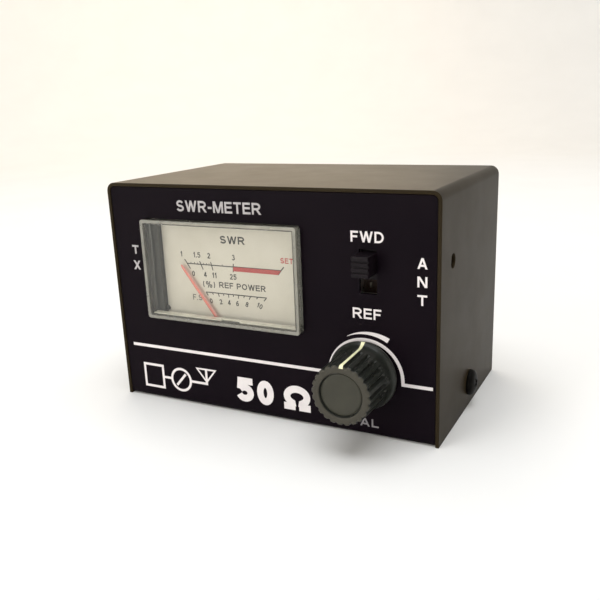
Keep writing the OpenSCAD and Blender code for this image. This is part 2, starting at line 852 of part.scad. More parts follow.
module knob() {
    flute_tilt = atan(0.75 / (knob_h - 4));
    color("#33332b") difference() {
        on_panel() rotate_extrude() knob_outline(0);
        on_panel() for (i = [0:flutes - 1])
            rotate([0, 0, 90 + knob_pointer_turn * -1 + (i + 0.5) * 360 / flutes])
                translate([face_r + 0.35, 0, knob_h + 0.5]) rotate([0, 180 - flute_tilt, 0])
                    cylinder(h = knob_h - 4, r = flute_r, $fn = 24);
        rod_y(knob_x, knob_z, knob_face - 1, knob_face + knob_recess_depth, knob_recess_r);
        rod_y(knob_x, knob_z, knob_base - knob_hollow_depth, knob_base + 1, knob_hollow_r);
        rod_y(knob_x, knob_z, knob_insert_front, knob_base, knob_insert_r);
        translate([knob_x, grub_y, knob_z - skirt_r - 1])
            cylinder(h = skirt_r, r = grub_r + 0.1);
    }
}

// A painted line from the rim of the face down to the skirt.
module knob_pointer() {
    color("#e9e7c0") on_panel() rotate([0, 0, -knob_pointer_turn]) difference() {
        intersection() {
            rotate_extrude() knob_outline(knob_pointer_t);
            translate([-knob_pointer_w / 2, knob_recess_r + 0.4, 1])
                cube([knob_pointer_w, skirt_r, knob_h + 1]);
        }
        rotate_extrude() knob_outline(0);
    }
}

module knob_insert() {
    color("#b8934a") difference() {
        tube_y(knob_x, knob_z, knob_insert_front, knob_insert_back, knob_insert_r,
            shaft_r + eps);
        translate([knob_x, grub_y, knob_z - knob_insert_r - 1])
            cylinder(h = knob_insert_r, r = grub_r);
    }
}

module knob_grub_screw() {
    color("#3a3a3a") difference() {
        translate([knob_x, grub_y, knob_z - shaft_r - 4.4])
            cylinder(h = 4.3, r = grub_r - eps);
        translate([knob_x, grub_y, knob_z - shaft_r - 4.4])
            cube([0.5, 4, 1.4], center = true);
    }
}

// ---- Coaxial sockets ----

module socket_shell(x) {
    color("#c5c3bb") difference() {
        union() {
            slab(x, socket_z, flange_side, flange_side, rear_y, socket_out);
            rod_y(x, socket_z, socket_out - eps, socket_end, barrel_r);
            rod_y(x, socket_z, rear_inside - spigot_len, rear_y + eps, spigot_r);
        }
        rod_y(x, socket_z, socket_end - mouth_depth, socket_end + 1, mouth_r);
        rod_y(x, socket_z, rear_inside - spigot_len - 1, socket_end, spigot_r - 1);
        for (dx = [-1, 1], dz = [-1, 1])
            rod_y(x + dx * flange_hole, socket_z + dz * flange_hole, rear_y - 1,
                socket_out + 1, m3_hole_r);
    }
}

module insulator(x) {
    color("#efe9dc") tube_y(x, socket_z, rear_inside - spigot_len - 0.5,
        socket_end - mouth_depth, spigot_r - 1, cup_r + eps);
}

// The contact is a tube at the mouth and a solder cup at the board.
module contact(x) {
    front = socket_end - mouth_depth;
    color("#d9d4c6") difference() {
        union() {
            rod_y(x, socket_z, front, socket_end - contact_set, contact_out_r);
            rod_y(x, socket_z, cup_end, front + eps, cup_r);
        }
        rod_y(x, socket_z, socket_end - contact_set - contact_bore_len, socket_end,
            contact_bore_r);
    }
}

module tx_socket_shell() { socket_shell(-socket_x); }
module tx_insulator() { insulator(-socket_x); }
module tx_contact() { contact(-socket_x); }
module ant_socket_shell() { socket_shell(socket_x); }
module ant_insulator() { insulator(socket_x); }
module ant_contact() { contact(socket_x); }

// A slotted pan-head screw, with its head's underside at y and its shank towards -Y.
module rear_screw(x, z, y, len) {
    difference() {
        union() {
            translate([x, y, z]) rotate([-90, 0, 0])
                cylinder(h = m3_head_h, r1 = m3_head_r, r2 = m3_head_r - 0.7);
            rod_y(x, z, y - len, y + eps, m3_r);
        }
        slab(x, z, 0.8, 2 * m3_head_r, y + 1, y + m3_head_h + 1);
    }
}

module rear_screws() {
    color("silver") {
        for (side = [-1, 1], dx = [-1, 1], dz = [-1, 1])
            rear_screw(side * socket_x + dx * flange_hole, socket_z + dz * flange_hole,
                socket_out, 6.5);
        for (z = spacer_z) rear_screw(0, z, rear_y, 5);
    }
}

module rear_nuts() {
    color("silver") for (side = [-1, 1], dx = [-1, 1], dz = [-1, 1])
        nut_y(side * socket_x + dx * flange_hole, socket_z + dz * flange_hole,
            rear_inside - m3_nut_h, m3_nut_h, m3_nut_r, m3_r + eps);
}

// ---- Coupler board ----

module coupler_board() {
    color("#2f6b3c") difference() {
        slab(0, (board_low + board_high) / 2, board_w, board_high - board_low,
            board_front, board_back);
        for (side = [-1, 1])
            rod_y(side * socket_x, socket_z, board_front - 1, board_back + 1, cup_r + slip);
        for (z = spacer_z) rod_y(0, z, board_front - 1, board_back + 1, m3_hole_r);
    }
}

module board_spacers() {
    color("#b8934a") for (z = spacer_z) difference() {
        union() {
            translate([0, rear_inside, z]) rotate([90, 0, 0])
                cylinder(h = rear_inside - board_back, r = spacer_r, $fn = 6);
            rod_y(0, z, board_front, board_back + eps, m3_r);
        }
        rod_y(0, z, rear_inside - 5, rear_inside + 1, m3_r + eps);
    }
}

// The through line: one brass strip between the two solder cups.
module line_conductor() {
    color("#c89b52") slab(0, socket_z, 2 * (socket_x - cup_r), line_h,
        board_front - copper_t, board_front);
}

module pickup_lines() {
    color("#c9794a") for (side = [-1, 1])
        slab(0, socket_z + side * pickup_gap, pickup_w, pickup_h,
            board_front - copper_t, board_front);
}

// A part with wire leads along X that bend back into the board.
module axial_part(x, z, body_len, body_r) {
    reach = body_len / 2 + 2;
    translate([x - body_len / 2, part_y, z]) rotate([0, 90, 0])
        cylinder(h = body_len, r = body_r);
    translate([x - reach, part_y, z]) rotate([0, 90, 0])
        cylinder(h = 2 * reach, r = lead_r, $fn = 16);
    for (side = [-1, 1])
        rod_y(x + side * reach, z, part_y - 2 * lead_r, board_front, 1.25 * lead_r);
}

module diodes() {
    color("#c2553a") for (side = [-1, 1]) axial_part(side * diode_x, diode_z, 4, 0.95);
}

module resistors() {
    color("#c7ae86") for (side = [-1, 1]) axial_part(side * diode_x, resistor_z, 6.4, 1.15);
}

module capacitors() {
    color("#b5742f") for (side = [-1, 1]) {
        rod_y(side * 22, capacitor_z, board_front - 3.4, board_front - 1.4, 2.6);
        for (dx = [-1.2, 1.2])
            rod_y(side * 22 + dx, capacitor_z, board_front - 1.5, board_front, lead_r);
    }
}

// ---- Antenna jack ----

module antenna_jack_body() {
    color("#1a1a1a") translate([0, jack_y, jack_z]) rotate([0, 90, 0]) difference() {
        union() {
            translate([0, 0, jack_in - jack_body_len])
                cylinder(h = jack_body_len, r = jack_body_r);
            translate([0, 0, jack_in - eps]) cylinder(h = sheet_t + eps, r = jack_spigot_r);
        }
        translate([0, 0, jack_in - jack_body_len + 1])
            cylinder(h = jack_body_len + sheet_t, r = jack_r);
    }
}

module antenna_jack_lugs() {
    color("#c9ccd0") for (x = [39, 43])
        block([x - 0.8, jack_y + jack_body_r, jack_z - 0.3],
            [x + 0.8, jack_y + jack_body_r + 3.2, jack_z + 0.3]);
}

// ---- Wires ----

module board_wires() {
    color("#3a6ea5") {
        wire(forward_route);
        wire(reflected_route);
    }
}

module meter_wires() {
    color("#b23a32") {
        wire(wiper_route);
        wire(calibration_route);
        wire(return_route);
    }
}

module antenna_wire() {
    color("#d9b23a") wire(antenna_route);
}

chassis();
panel_studs();
cover();
cover_screws();
meter_window();
meter_housing();
dial_plate();
dial_screws();
meter_yoke();
meter_magnet();
core_supports();
front_bridge();
rear_bridge();
jewel_screws();
meter_terminals();
meter_strap();
panel_nuts();
switch_frame();
switch_base();
switch_terminals();
pot_bush();
pot_case();
pot_track();
pot_terminals();
pot_washer();
pot_nut();
tx_socket_shell();
tx_insulator();
tx_contact();
ant_socket_shell();
ant_insulator();
ant_contact();
rear_screws();
rear_nuts();
coupler_board();
line_conductor();
pickup_lines();
diodes();
resistors();
capacitors();
board_spacers();
antenna_jack_body();
antenna_jack_lugs();
board_wires();
meter_wires();
antenna_wire();
knob();
knob_pointer();
knob_insert();
knob_grub_screw();
pot_shaft();
pot_wiper();
switch_actuator();
switch_contacts();
pointer();
moving_coil();
coil_shaft();
hairsprings();
balance_weights();
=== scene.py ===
import json
import math

import bmesh
import bpy
from mathutils import Matrix, Vector
from mathutils.geometry import convex_hull_2d, delaunay_2d_cdt


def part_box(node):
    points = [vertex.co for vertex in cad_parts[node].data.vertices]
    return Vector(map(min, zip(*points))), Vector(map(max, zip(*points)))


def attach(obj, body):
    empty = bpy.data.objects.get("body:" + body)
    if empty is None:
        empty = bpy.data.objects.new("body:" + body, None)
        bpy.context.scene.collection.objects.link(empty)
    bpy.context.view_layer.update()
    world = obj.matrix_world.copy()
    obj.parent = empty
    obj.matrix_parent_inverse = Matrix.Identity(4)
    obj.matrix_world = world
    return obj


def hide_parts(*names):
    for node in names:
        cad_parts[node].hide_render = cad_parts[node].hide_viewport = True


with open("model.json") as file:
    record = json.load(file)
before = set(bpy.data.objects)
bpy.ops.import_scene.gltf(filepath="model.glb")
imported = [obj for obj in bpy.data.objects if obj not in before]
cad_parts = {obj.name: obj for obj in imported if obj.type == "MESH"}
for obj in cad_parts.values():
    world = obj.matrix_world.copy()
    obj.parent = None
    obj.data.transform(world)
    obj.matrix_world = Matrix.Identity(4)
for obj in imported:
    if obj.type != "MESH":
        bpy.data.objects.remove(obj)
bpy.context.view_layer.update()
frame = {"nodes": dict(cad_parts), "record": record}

# Lengths in this script are written in millimetres, in the CAD's row frame:
# +X right, the front panel faces -Y, +Z up. MM turns them into Blender's metres.
MM = 0.001


def corners(node):
    """Lowest and highest corner of a CAD node, in millimetres."""
    low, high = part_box(node)
    return low / MM, high / MM


def middle(node):
    low, high = corners(node)
    return (low + high) / 2


# ---- Camera and studio ----

def look_from(azimuth, elevation, roll):
    """Rotation of a camera that looks back along this direction, in degrees."""
    a, e, r = (math.radians(v) for v in (azimuth, elevation, roll))
    back = Vector((math.sin(a) * math.cos(e), -math.cos(a) * math.cos(e), math.sin(e)))
    side = Vector((0, 0, 1)).cross(back).normalized()
    up = back.cross(side)
    right = math.cos(r) * side + math.sin(r) * up
    rise = -math.sin(r) * side + math.cos(r) * up
    return Matrix((right, rise, back)).transposed()


def make_camera():
    """The photo's place and direction, from a fit of the case's edges, in metres and degrees."""
    place, azimuth, elevation, roll = (0.0973, -0.19195, 0.0873), 26.8, 16.11, -2.1
    data = bpy.data.cameras.new("camera")
    data.sensor_width, data.lens = 36, 43.27
    data.shift_x, data.shift_y = -0.0202, 0.0085
    data.clip_start, data.clip_end = 0.01, 20
    camera = bpy.data.objects.new("camera", data)
    camera.matrix_world = Matrix.Translation(place) @ look_from(azimuth, elevation, roll).to_4x4()
    bpy.context.scene.collection.objects.link(camera)
    bpy.context.scene.camera = camera


def softbox(name, place, target, size, power, colour):
    """A rectangular area light, in metres, that faces a target."""
    data = bpy.data.lights.new(name, "AREA")
    data.shape = "RECTANGLE"
    data.size, data.size_y = size
    data.energy = power
    data.color = colour
    light = bpy.data.objects.new(name, data)
    light.location = place
    light.rotation_euler = (Vector(target) - Vector(place)).to_track_quat("-Z", "Y").to_euler()
    light.visible_camera = False
    bpy.context.scene.collection.objects.link(light)


# ---- Materials ----

MATERIALS = {}


def shader(name):
    """A new material, kept in MATERIALS: its node tree and its Principled shader."""
    made = bpy.data.materials.new(name)
    made.use_nodes = True
    MATERIALS[name] = made
    return made.node_tree, made.node_tree.nodes["Principled BSDF"]


def add(tree, kind, values=None, **settings):
    """A new node, with its inputs set or linked and its settings set."""
    made = tree.nodes.new("ShaderNode" + kind)
    for key, value in settings.items():
        setattr(made, key, value)
    for key, value in (values or {}).items():
        if isinstance(value, bpy.types.NodeSocket):
            tree.links.new(value, made.inputs[key])
        else:
            made.inputs[key].default_value = value
    return made


def noise(tree, size, detail=3.0, stretch=(1, 1, 1)):
    """Noise whose blobs are about size millimetres across, fixed to the piece."""
    where = add(tree, "TexCoord").outputs["Object"]
    scaled = add(tree, "Mapping", {"Vector": where, "Scale": [s / (size * MM) for s in stretch]})
    return add(tree, "TexNoise", {"Vector": scaled.outputs[0], "Scale": 1.0, "Detail": detail,
                                  "Roughness": 0.55}).outputs["Fac"]


def spread(tree, value, low, high, from_low=0.3, from_high=0.7):
    """Maps the middle of the noise, where most of it lies, to a range."""
    return add(tree, "MapRange", {"Value": value, "From Min": from_low, "From Max": from_high,
                                  "To Min": low, "To Max": high}).outputs["Result"]


def blend_colour(tree, amount, first, second):
    """Mixes two colours, each an (r, g, b) or a socket."""
    first, second = (c if isinstance(c, bpy.types.NodeSocket) else (*c, 1) for c in (first, second))
    return add(tree, "Mix", {0: amount, 6: first, 7: second}, data_type="RGBA").outputs[2]


def combine(tree, first, second, operation="MULTIPLY"):
    """The product of two values or sockets, or what another operation makes of them."""
    return add(tree, "Math", {0: first, 1: second}, operation=operation).outputs[0]


def edges(tree, radius):
    """1 on edges that a hand or a cloth rubs, 0 on flat faces."""
    rounded = add(tree, "Bevel", {"Radius": radius * MM}, samples=6).outputs["Normal"]
    true = add(tree, "NewGeometry").outputs["Normal"]
    aligned = add(tree, "VectorMath", {0: rounded, 1: true}, operation="DOT_PRODUCT")
    return add(tree, "MapRange", {"Value": aligned.outputs["Value"], "From Min": 0.99,
                                  "From Max": 0.9, "To Min": 0.0, "To Max": 1.0}).outputs[0]


def finish(name, colour, second, rough, metal=0.0, patch=6.0, grain=0.4, bump=0.02, specular=0.5,
           rough_spread=0.06, stretch=(1, 1, 1), worn=None, wear_radius=0.3, wear_amount=0.6,
           coat=0.0):
    """A surface that varies between two colours in patches, with fine grain and rubbed edges.

    patch and grain are in millimetres, and bump is the grain's height in millimetres.
    """
    tree, out = shader(name)
    tone = blend_colour(tree, spread(tree, noise(tree, patch), 0, 1), colour, second)
    gloss = spread(tree, noise(tree, patch * 0.4, stretch=stretch), rough - rough_spread,
                   rough + rough_spread)
    if worn:
        rubbed = combine(tree, edges(tree, wear_radius),
                         spread(tree, noise(tree, patch * 0.3), 0, wear_amount, 0.35, 0.75))
        tone = blend_colour(tree, rubbed, tone, worn)
        gloss = combine(tree, gloss, combine(tree, rubbed, 0.12), "SUBTRACT")
    tree.links.new(tone, out.inputs["Base Color"])
    tree.links.new(gloss, out.inputs["Roughness"])
    relief = add(tree, "Bump", {"Height": noise(tree, grain, detail=4.0, stretch=stretch),
                                "Strength": 1.0, "Distance": bump * MM})
    tree.links.new(relief.outputs[0], out.inputs["Normal"])
    out.inputs["Metallic"].default_value = metal
    out.inputs["Specular IOR Level"].default_value = specular
    out.inputs["Coat Weight"].default_value = coat


def see_through(name, tint, body, amount, rough):
    """Clear or milky plastic. amount is how much light the body colour stops."""
    tree, out = shader(name)
    cloud = spread(tree, noise(tree, 3.0), amount * 0.8, amount * 1.2)
    tree.links.new(blend_colour(tree, spread(tree, noise(tree, 1.5), 0, 1), body,
                                tuple(0.92 * c for c in body)), out.inputs["Base Color"])
    tree.links.new(spread(tree, noise(tree, 0.8), rough * 0.7, rough * 1.4),
                   out.inputs["Roughness"])
    clear = add(tree, "BsdfTransparent", {"Color": (*tint, 1)})
    shine = add(tree, "BsdfGlossy", {"Color": (1, 1, 1, 1), "Roughness": rough})
    # light leaves through a back face without the full mirror of a face seen from inside
    outward = combine(tree, 1.0, add(tree, "NewGeometry").outputs["Backfacing"], "SUBTRACT")
    mirror = combine(tree, add(tree, "Fresnel", {"IOR": 1.5}).outputs[0], outward)
    filled = add(tree, "MixShader", {0: cloud, 1: clear.outputs[0], 2: out.outputs[0]})
    glossy = add(tree, "MixShader", {0: mirror, 1: filled.outputs[0], 2: shine.outputs[0]})
    tree.links.new(glossy.outputs[0], tree.nodes["Material Output"].inputs["Surface"])


# paint, printing and the dial
finish("cover_paint", (0.024, 0.017, 0.0085), (0.030, 0.022, 0.012), 0.35, patch=26, grain=0.45,
       bump=0.005, specular=0.035, rough_spread=0.02, worn=(0.032, 0.025, 0.016), wear_amount=0.08,
       wear_radius=0.2)
finish("panel_paint", (0.0040, 0.0018, 0.0042), (0.0056, 0.0028, 0.0052), 0.46, patch=22,
       grain=0.45, bump=0.004, specular=0.05, rough_spread=0.015, worn=(0.024, 0.020, 0.022),
       wear_amount=0.2)
finish("print_white", (0.86, 0.81, 0.80), (0.78, 0.73, 0.73), 0.5, patch=2.0, grain=0.12,
       bump=0.004, specular=0.3)
# the same white ink painted dimmer: painted shade for the title near the panel's top, which gets less
# light; TX uses it too
finish("print_soft", (0.50, 0.475, 0.475), (0.42, 0.395, 0.40), 0.5, patch=1.2, grain=0.12,
       bump=0.004, specular=0.3)
finish("print_grey", (0.33, 0.31, 0.32), (0.25, 0.235, 0.245), 0.5, patch=1.0, grain=0.12,
       bump=0.004, specular=0.3)
finish("print_black", (0.018, 0.016, 0.016), (0.032, 0.028, 0.027), 0.6, patch=0.8, grain=0.1,
       bump=0.002)
finish("print_red", (0.50, 0.060, 0.055), (0.42, 0.05, 0.048), 0.6, patch=1.2, grain=0.1,
       bump=0.003)
finish("dial_card", (0.71, 0.67, 0.605), (0.65, 0.61, 0.54), 0.7, patch=9, grain=0.3, bump=0.001,
       specular=0.3)
# plastics
see_through("clear_styrene", (0.97, 0.97, 0.95), (0.8, 0.8, 0.76), 0.015, 0.03)
# the window's rim: clear plastic painted pale and partly opaque, as painted light for the glow along
# its edges
see_through("pale_styrene", (0.80, 0.79, 0.72), (0.50, 0.485, 0.42), 0.42, 0.08)
# the ledge: clear plastic painted pale and nearly opaque, as painted light for the ledge's glow
see_through("milky_styrene", (0.92, 0.90, 0.84), (0.86, 0.83, 0.72), 0.85, 0.12)
# the rim's inner face: clear plastic painted dark, as painted shade where the clear wall shows dark
see_through("smoky_styrene", (0.30, 0.29, 0.25), (0.10, 0.095, 0.08), 0.5, 0.1)
finish("black_plastic", (0.016, 0.016, 0.013), (0.024, 0.023, 0.018), 0.38, patch=5, grain=0.25,
       bump=0.008, worn=(0.07, 0.07, 0.06))
finish("needle_core", (0.78, 0.17, 0.14), (0.70, 0.13, 0.11), 0.3, patch=1.5, grain=0.2, bump=0.001)
see_through("needle_edge", (1.0, 0.74, 0.68), (1.0, 0.52, 0.45), 0.45, 0.2)
finish("knob_plastic", (0.014, 0.016, 0.013), (0.021, 0.022, 0.018), 0.32, patch=5, grain=0.25,
       bump=0.004, specular=0.3, worn=(0.085, 0.085, 0.068), wear_radius=0.16, wear_amount=0.4)
# the knob's face: the same plastic as its side, painted lighter as painted light for the light that
# falls on the face; the disc a little less
finish("knob_rim_painted_light", (0.051, 0.046, 0.033), (0.043, 0.039, 0.028), 0.5, patch=2.5, grain=0.2,
       bump=0.008, specular=0.3, worn=(0.15, 0.14, 0.11), wear_radius=0.2, wear_amount=0.4)
finish("knob_disc_painted_light", (0.043, 0.041, 0.028), (0.036, 0.0345, 0.024), 0.5, patch=4, grain=0.18,
       bump=0.006, specular=0.3)
finish("pointer_cream", (0.95, 0.94, 0.62), (0.88, 0.86, 0.52), 0.45, patch=1.2, grain=0.15,
       bump=0.004)
finish("switch_plastic", (0.005, 0.0028, 0.0045), (0.008, 0.005, 0.007), 0.42, patch=2, grain=0.15,
       bump=0.004, specular=0.12, worn=(0.036, 0.024, 0.030), wear_radius=0.16, wear_amount=0.8)
# blackened and bare metals
finish("black_screw", (0.0035, 0.003, 0.0025), (0.006, 0.005, 0.004), 0.42, patch=1.5, grain=0.2,
       bump=0.006, specular=0.05, worn=(0.07, 0.06, 0.05), wear_radius=0.12, wear_amount=0.35)
finish("nickel", (0.66, 0.63, 0.57), (0.60, 0.57, 0.50), 0.22, metal=1.0, patch=7, grain=0.35,
       bump=0.0012, rough_spread=0.035, worn=(0.76, 0.73, 0.66))
finish("zinc_steel", (0.60, 0.61, 0.64), (0.60, 0.57, 0.50), 0.30, metal=1.0, patch=4, grain=0.25,
       bump=0.002, rough_spread=0.05)
finish("soft_iron", (0.40, 0.40, 0.41), (0.28, 0.26, 0.25), 0.36, metal=1.0, patch=2.5, grain=0.3,
       bump=0.005, stretch=(1, 5, 1))
finish("magnet", (0.13, 0.13, 0.14), (0.20, 0.20, 0.21), 0.42, metal=1.0, patch=2, grain=0.2,
       bump=0.01)
finish("brass", (0.70, 0.49, 0.19), (0.48, 0.31, 0.12), 0.3, metal=1.0, patch=3, grain=0.25,
       bump=0.004, rough_spread=0.1)
finish("tinned_brass", (0.70, 0.68, 0.60), (0.58, 0.52, 0.40), 0.3, metal=1.0, patch=2, grain=0.2,
       bump=0.004, rough_spread=0.1)
finish("copper", (0.72, 0.34, 0.18), (0.50, 0.24, 0.12), 0.34, metal=1.0, patch=2, grain=0.16,
       bump=0.006, stretch=(1, 1, 3))
finish("spring_bronze", (0.66, 0.40, 0.16), (0.46, 0.26, 0.10), 0.28, metal=1.0, patch=1, grain=0.1,
       bump=0.002)
# electrical parts
finish("phenolic", (0.060, 0.030, 0.018), (0.040, 0.020, 0.012), 0.45, patch=1.2, grain=0.2,
       bump=0.006)
finish("socket_insulator", (0.80, 0.76, 0.66), (0.70, 0.64, 0.52), 0.4, patch=2.5, grain=0.2,
       bump=0.004)
finish("circuit_board", (0.022, 0.13, 0.045), (0.035, 0.17, 0.06), 0.3, patch=5, grain=0.5,
       bump=0.006, coat=0.3)
finish("resistor_body", (0.62, 0.46, 0.26), (0.52, 0.37, 0.20), 0.35, patch=1.2, grain=0.15,
       bump=0.01)
finish("capacitor_body", (0.58, 0.24, 0.06), (0.48, 0.18, 0.04), 0.28, patch=1.2, grain=0.3,
       bump=0.02)
finish("diode_glass", (0.60, 0.16, 0.07), (0.42, 0.10, 0.05), 0.12, patch=0.8, grain=0.3,
       bump=0.004, coat=0.5)
finish("wire_blue", (0.03, 0.09, 0.34), (0.04, 0.12, 0.40), 0.36, patch=2, grain=0.3, bump=0.006)
finish("wire_red", (0.46, 0.025, 0.02), (0.38, 0.02, 0.018), 0.36, patch=2, grain=0.3, bump=0.006)
finish("wire_yellow", (0.68, 0.44, 0.04), (0.58, 0.36, 0.03), 0.36, patch=2, grain=0.3, bump=0.006)

# ---- CAD nodes: their finish, and edges that catch the light ----

SLOT_FINISH = {"case_paint": "cover_paint", "needle_red": "needle_core"}
NODE_FINISH = {"chassis": "panel_paint"}
EASED = {"cover": 0.16, "chassis": 0.14, "switch_actuator": 0.16, "meter_housing": 0.2,
         "rear_screws": 0.12, "switch_frame": 0.08, "dial_plate": 0.05, "antenna_jack_body": 0.15,
         "tx_insulator": 0.15, "ant_insulator": 0.15, "coupler_board": 0.08, "pot_case": 0.15,
         "pot_nut": 0.12, "meter_strap": 0.1, "rear_nuts": 0.1, "panel_nuts": 0.1}


def ease(thing, width):
    """Rounds the edges of a piece. width is in millimetres."""
    weld = thing.modifiers.new("weld", "WELD")
    weld.merge_threshold = 0.002 * MM
    bevel = thing.modifiers.new("eased", "BEVEL")
    bevel.width = width * MM
    bevel.segments = 2
    bevel.limit_method = "ANGLE"
    bevel.angle_limit = math.radians(32)
    bevel.miter_outer = "MITER_ARC"
    level = thing.modifiers.new("faces", "WEIGHTED_NORMAL")
    level.weight = 60


for name, thing in frame["nodes"].items():
    slot = next(p["material_slot"] for p in frame["record"]["subparts"] if p["node"] == name)
    thing.data.materials.clear()
    thing.data.materials.append(MATERIALS[NODE_FINISH.get(name, SLOT_FINISH.get(slot, slot))])
    if name in EASED:
        ease(thing, EASED[name])


# ---- Building pieces ----

def piece(name, shape, body, finishes, replaces=(), smooth=38, ease_width=0.0):
    """Makes a Blender object from a bmesh in millimetres, riding on a CAD body."""
    mesh = bpy.data.meshes.new(name)
    bmesh.ops.scale(shape, vec=(MM, MM, MM), verts=shape.verts)
    bmesh.ops.recalc_face_normals(shape, faces=shape.faces)
    shape.to_mesh(mesh)
    shape.free()
    for f in [finishes] if isinstance(finishes, str) else finishes:
        mesh.materials.append(MATERIALS[f])
    made = bpy.data.objects.new(name, mesh)
    bpy.context.scene.collection.objects.link(made)
    mesh.shade_smooth()
    mesh.set_sharp_from_angle(angle=math.radians(smooth))
    if ease_width:
        ease(made, ease_width)
    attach(made, body)
    if replaces:
        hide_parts(*replaces)


def join(shape, other):
    """Adds another bmesh to shape and frees it."""
    carrier = bpy.data.meshes.new("carrier")
    other.to_mesh(carrier)
    other.free()
    shape.from_mesh(carrier)
    bpy.data.meshes.remove(carrier)
    return shape


def turned(profile, segments, radius_at=None, height_at=None):
    """Turns a profile of (radius, height) about Z. Radius 0 closes it at a pole.

    radius_at and height_at give the radius and height at each point and angle.
    """
    shape = bmesh.new()
    rows = []
    for r, h in profile:
        if r == 0:
            rows.append([shape.verts.new((0, 0, h))])
            continue
        row = []
        for k in range(segments):
            turn = 2 * math.pi * k / segments
            out = radius_at(r, h, turn) if radius_at else r
            rise = height_at(r, h, turn) if height_at else h
            row.append(shape.verts.new((out * math.cos(turn), out * math.sin(turn), rise)))
        rows.append(row)
    for low, high in zip(rows, rows[1:]):
        for k in range(segments):
            n = (k + 1) % segments
            if len(low) == 1:
                shape.faces.new((low[0], high[k], high[n]))
            elif len(high) == 1:
                shape.faces.new((low[k], high[0], low[n]))
            else:
                shape.faces.new((low[k], high[k], high[n], low[n]))
    return shape


def rod(radius, low, high, segments):
    """A closed cylinder about Z."""
    return turned([(0, low), (radius, low), (radius, high), (0, high)], segments)


def closed(profile):
    """A turned profile that ends where it starts needs one more row."""
    return profile + [profile[0]]


def weld(shape):
    bmesh.ops.remove_doubles(shape, verts=shape.verts, dist=0.001)
    return shape


def prism(outline, low, high):
    """A plate in the XZ plane, from y = low to y = high."""
    shape = bmesh.new()
    front = [shape.verts.new((x, low, z)) for x, z in outline]
    back = [shape.verts.new((x, high, z)) for x, z in outline]
    shape.faces.new(front)
    shape.faces.new(list(reversed(back)))
    for k in range(len(outline)):
        n = (k + 1) % len(outline)
        shape.faces.new((front[k], back[k], back[n], front[n]))
    return shape


def carve(shape, *cutters):
    """Cuts closed bmeshes out of a closed bmesh."""
    scene = bpy.context.scene
    base_mesh = bpy.data.meshes.new("base")
    bmesh.ops.recalc_face_normals(shape, faces=shape.faces)
    shape.to_mesh(base_mesh)
    base = bpy.data.objects.new("base", base_mesh)
    scene.collection.objects.link(base)
    tools = []
    for cutter in cutters:
        bmesh.ops.recalc_face_normals(cutter, faces=cutter.faces)
        tool_mesh = bpy.data.meshes.new("tool")
        cutter.to_mesh(tool_mesh)
        cutter.free()
        tool = bpy.data.objects.new("tool", tool_mesh)
        scene.collection.objects.link(tool)
        cut = base.modifiers.new("cut", "BOOLEAN")
        cut.operation = "DIFFERENCE"
        cut.solver = "EXACT"
        cut.object = tool
        tools.append(tool)
    ready = base.evaluated_get(bpy.context.evaluated_depsgraph_get())
    result = bpy.data.meshes.new_from_object(ready)
    shape.clear()
    shape.from_mesh(result)
    for thing in [base, *tools]:
        old = thing.data
        bpy.data.objects.remove(thing)
        bpy.data.meshes.remove(old)
    bpy.data.meshes.remove(result)
    return shape


def cuboid(low, high):
    return prism([(low[0], low[2]), (high[0], low[2]), (high[0], high[2]), (low[0], high[2])],
                 low[1], high[1])


def facing(shape, x, y, z, turn):
    """Carries a shape turned about Z to a place, with its +Z along -Y, +Y, +X or -X."""
    axis, sign = {"-Y": ("X", 1), "+Y": ("X", -1), "+X": ("Y", 1), "-X": ("Y", -1)}[turn]
    shape.transform(Matrix.Translation((x, y, z)) @ Matrix.Rotation(sign * math.pi / 2, 4, axis))
    return shape


def bow(x, y, across, rise, start, end, steps=10):
    """Points on part of an ellipse, in degrees anticlockwise from +X."""
    turns = [math.radians(start + (end - start) * k / steps) for k in range(steps + 1)]
    return [(x + across * math.cos(t), y + rise * math.sin(t)) for t in turns]


def arc(centre, radius, start, end, steps):
    """Points on an arc in XZ."""
    return bow(*centre, radius, radius, start, end, steps)


# ---- Printing ----

def oval(x, y, across, rise, steps):
    """A closed ellipse, which runs one step past its start so that its ends meet cleanly."""
    return bow(x, y, across, rise, 90, 450 + 360 / steps, steps + 1)


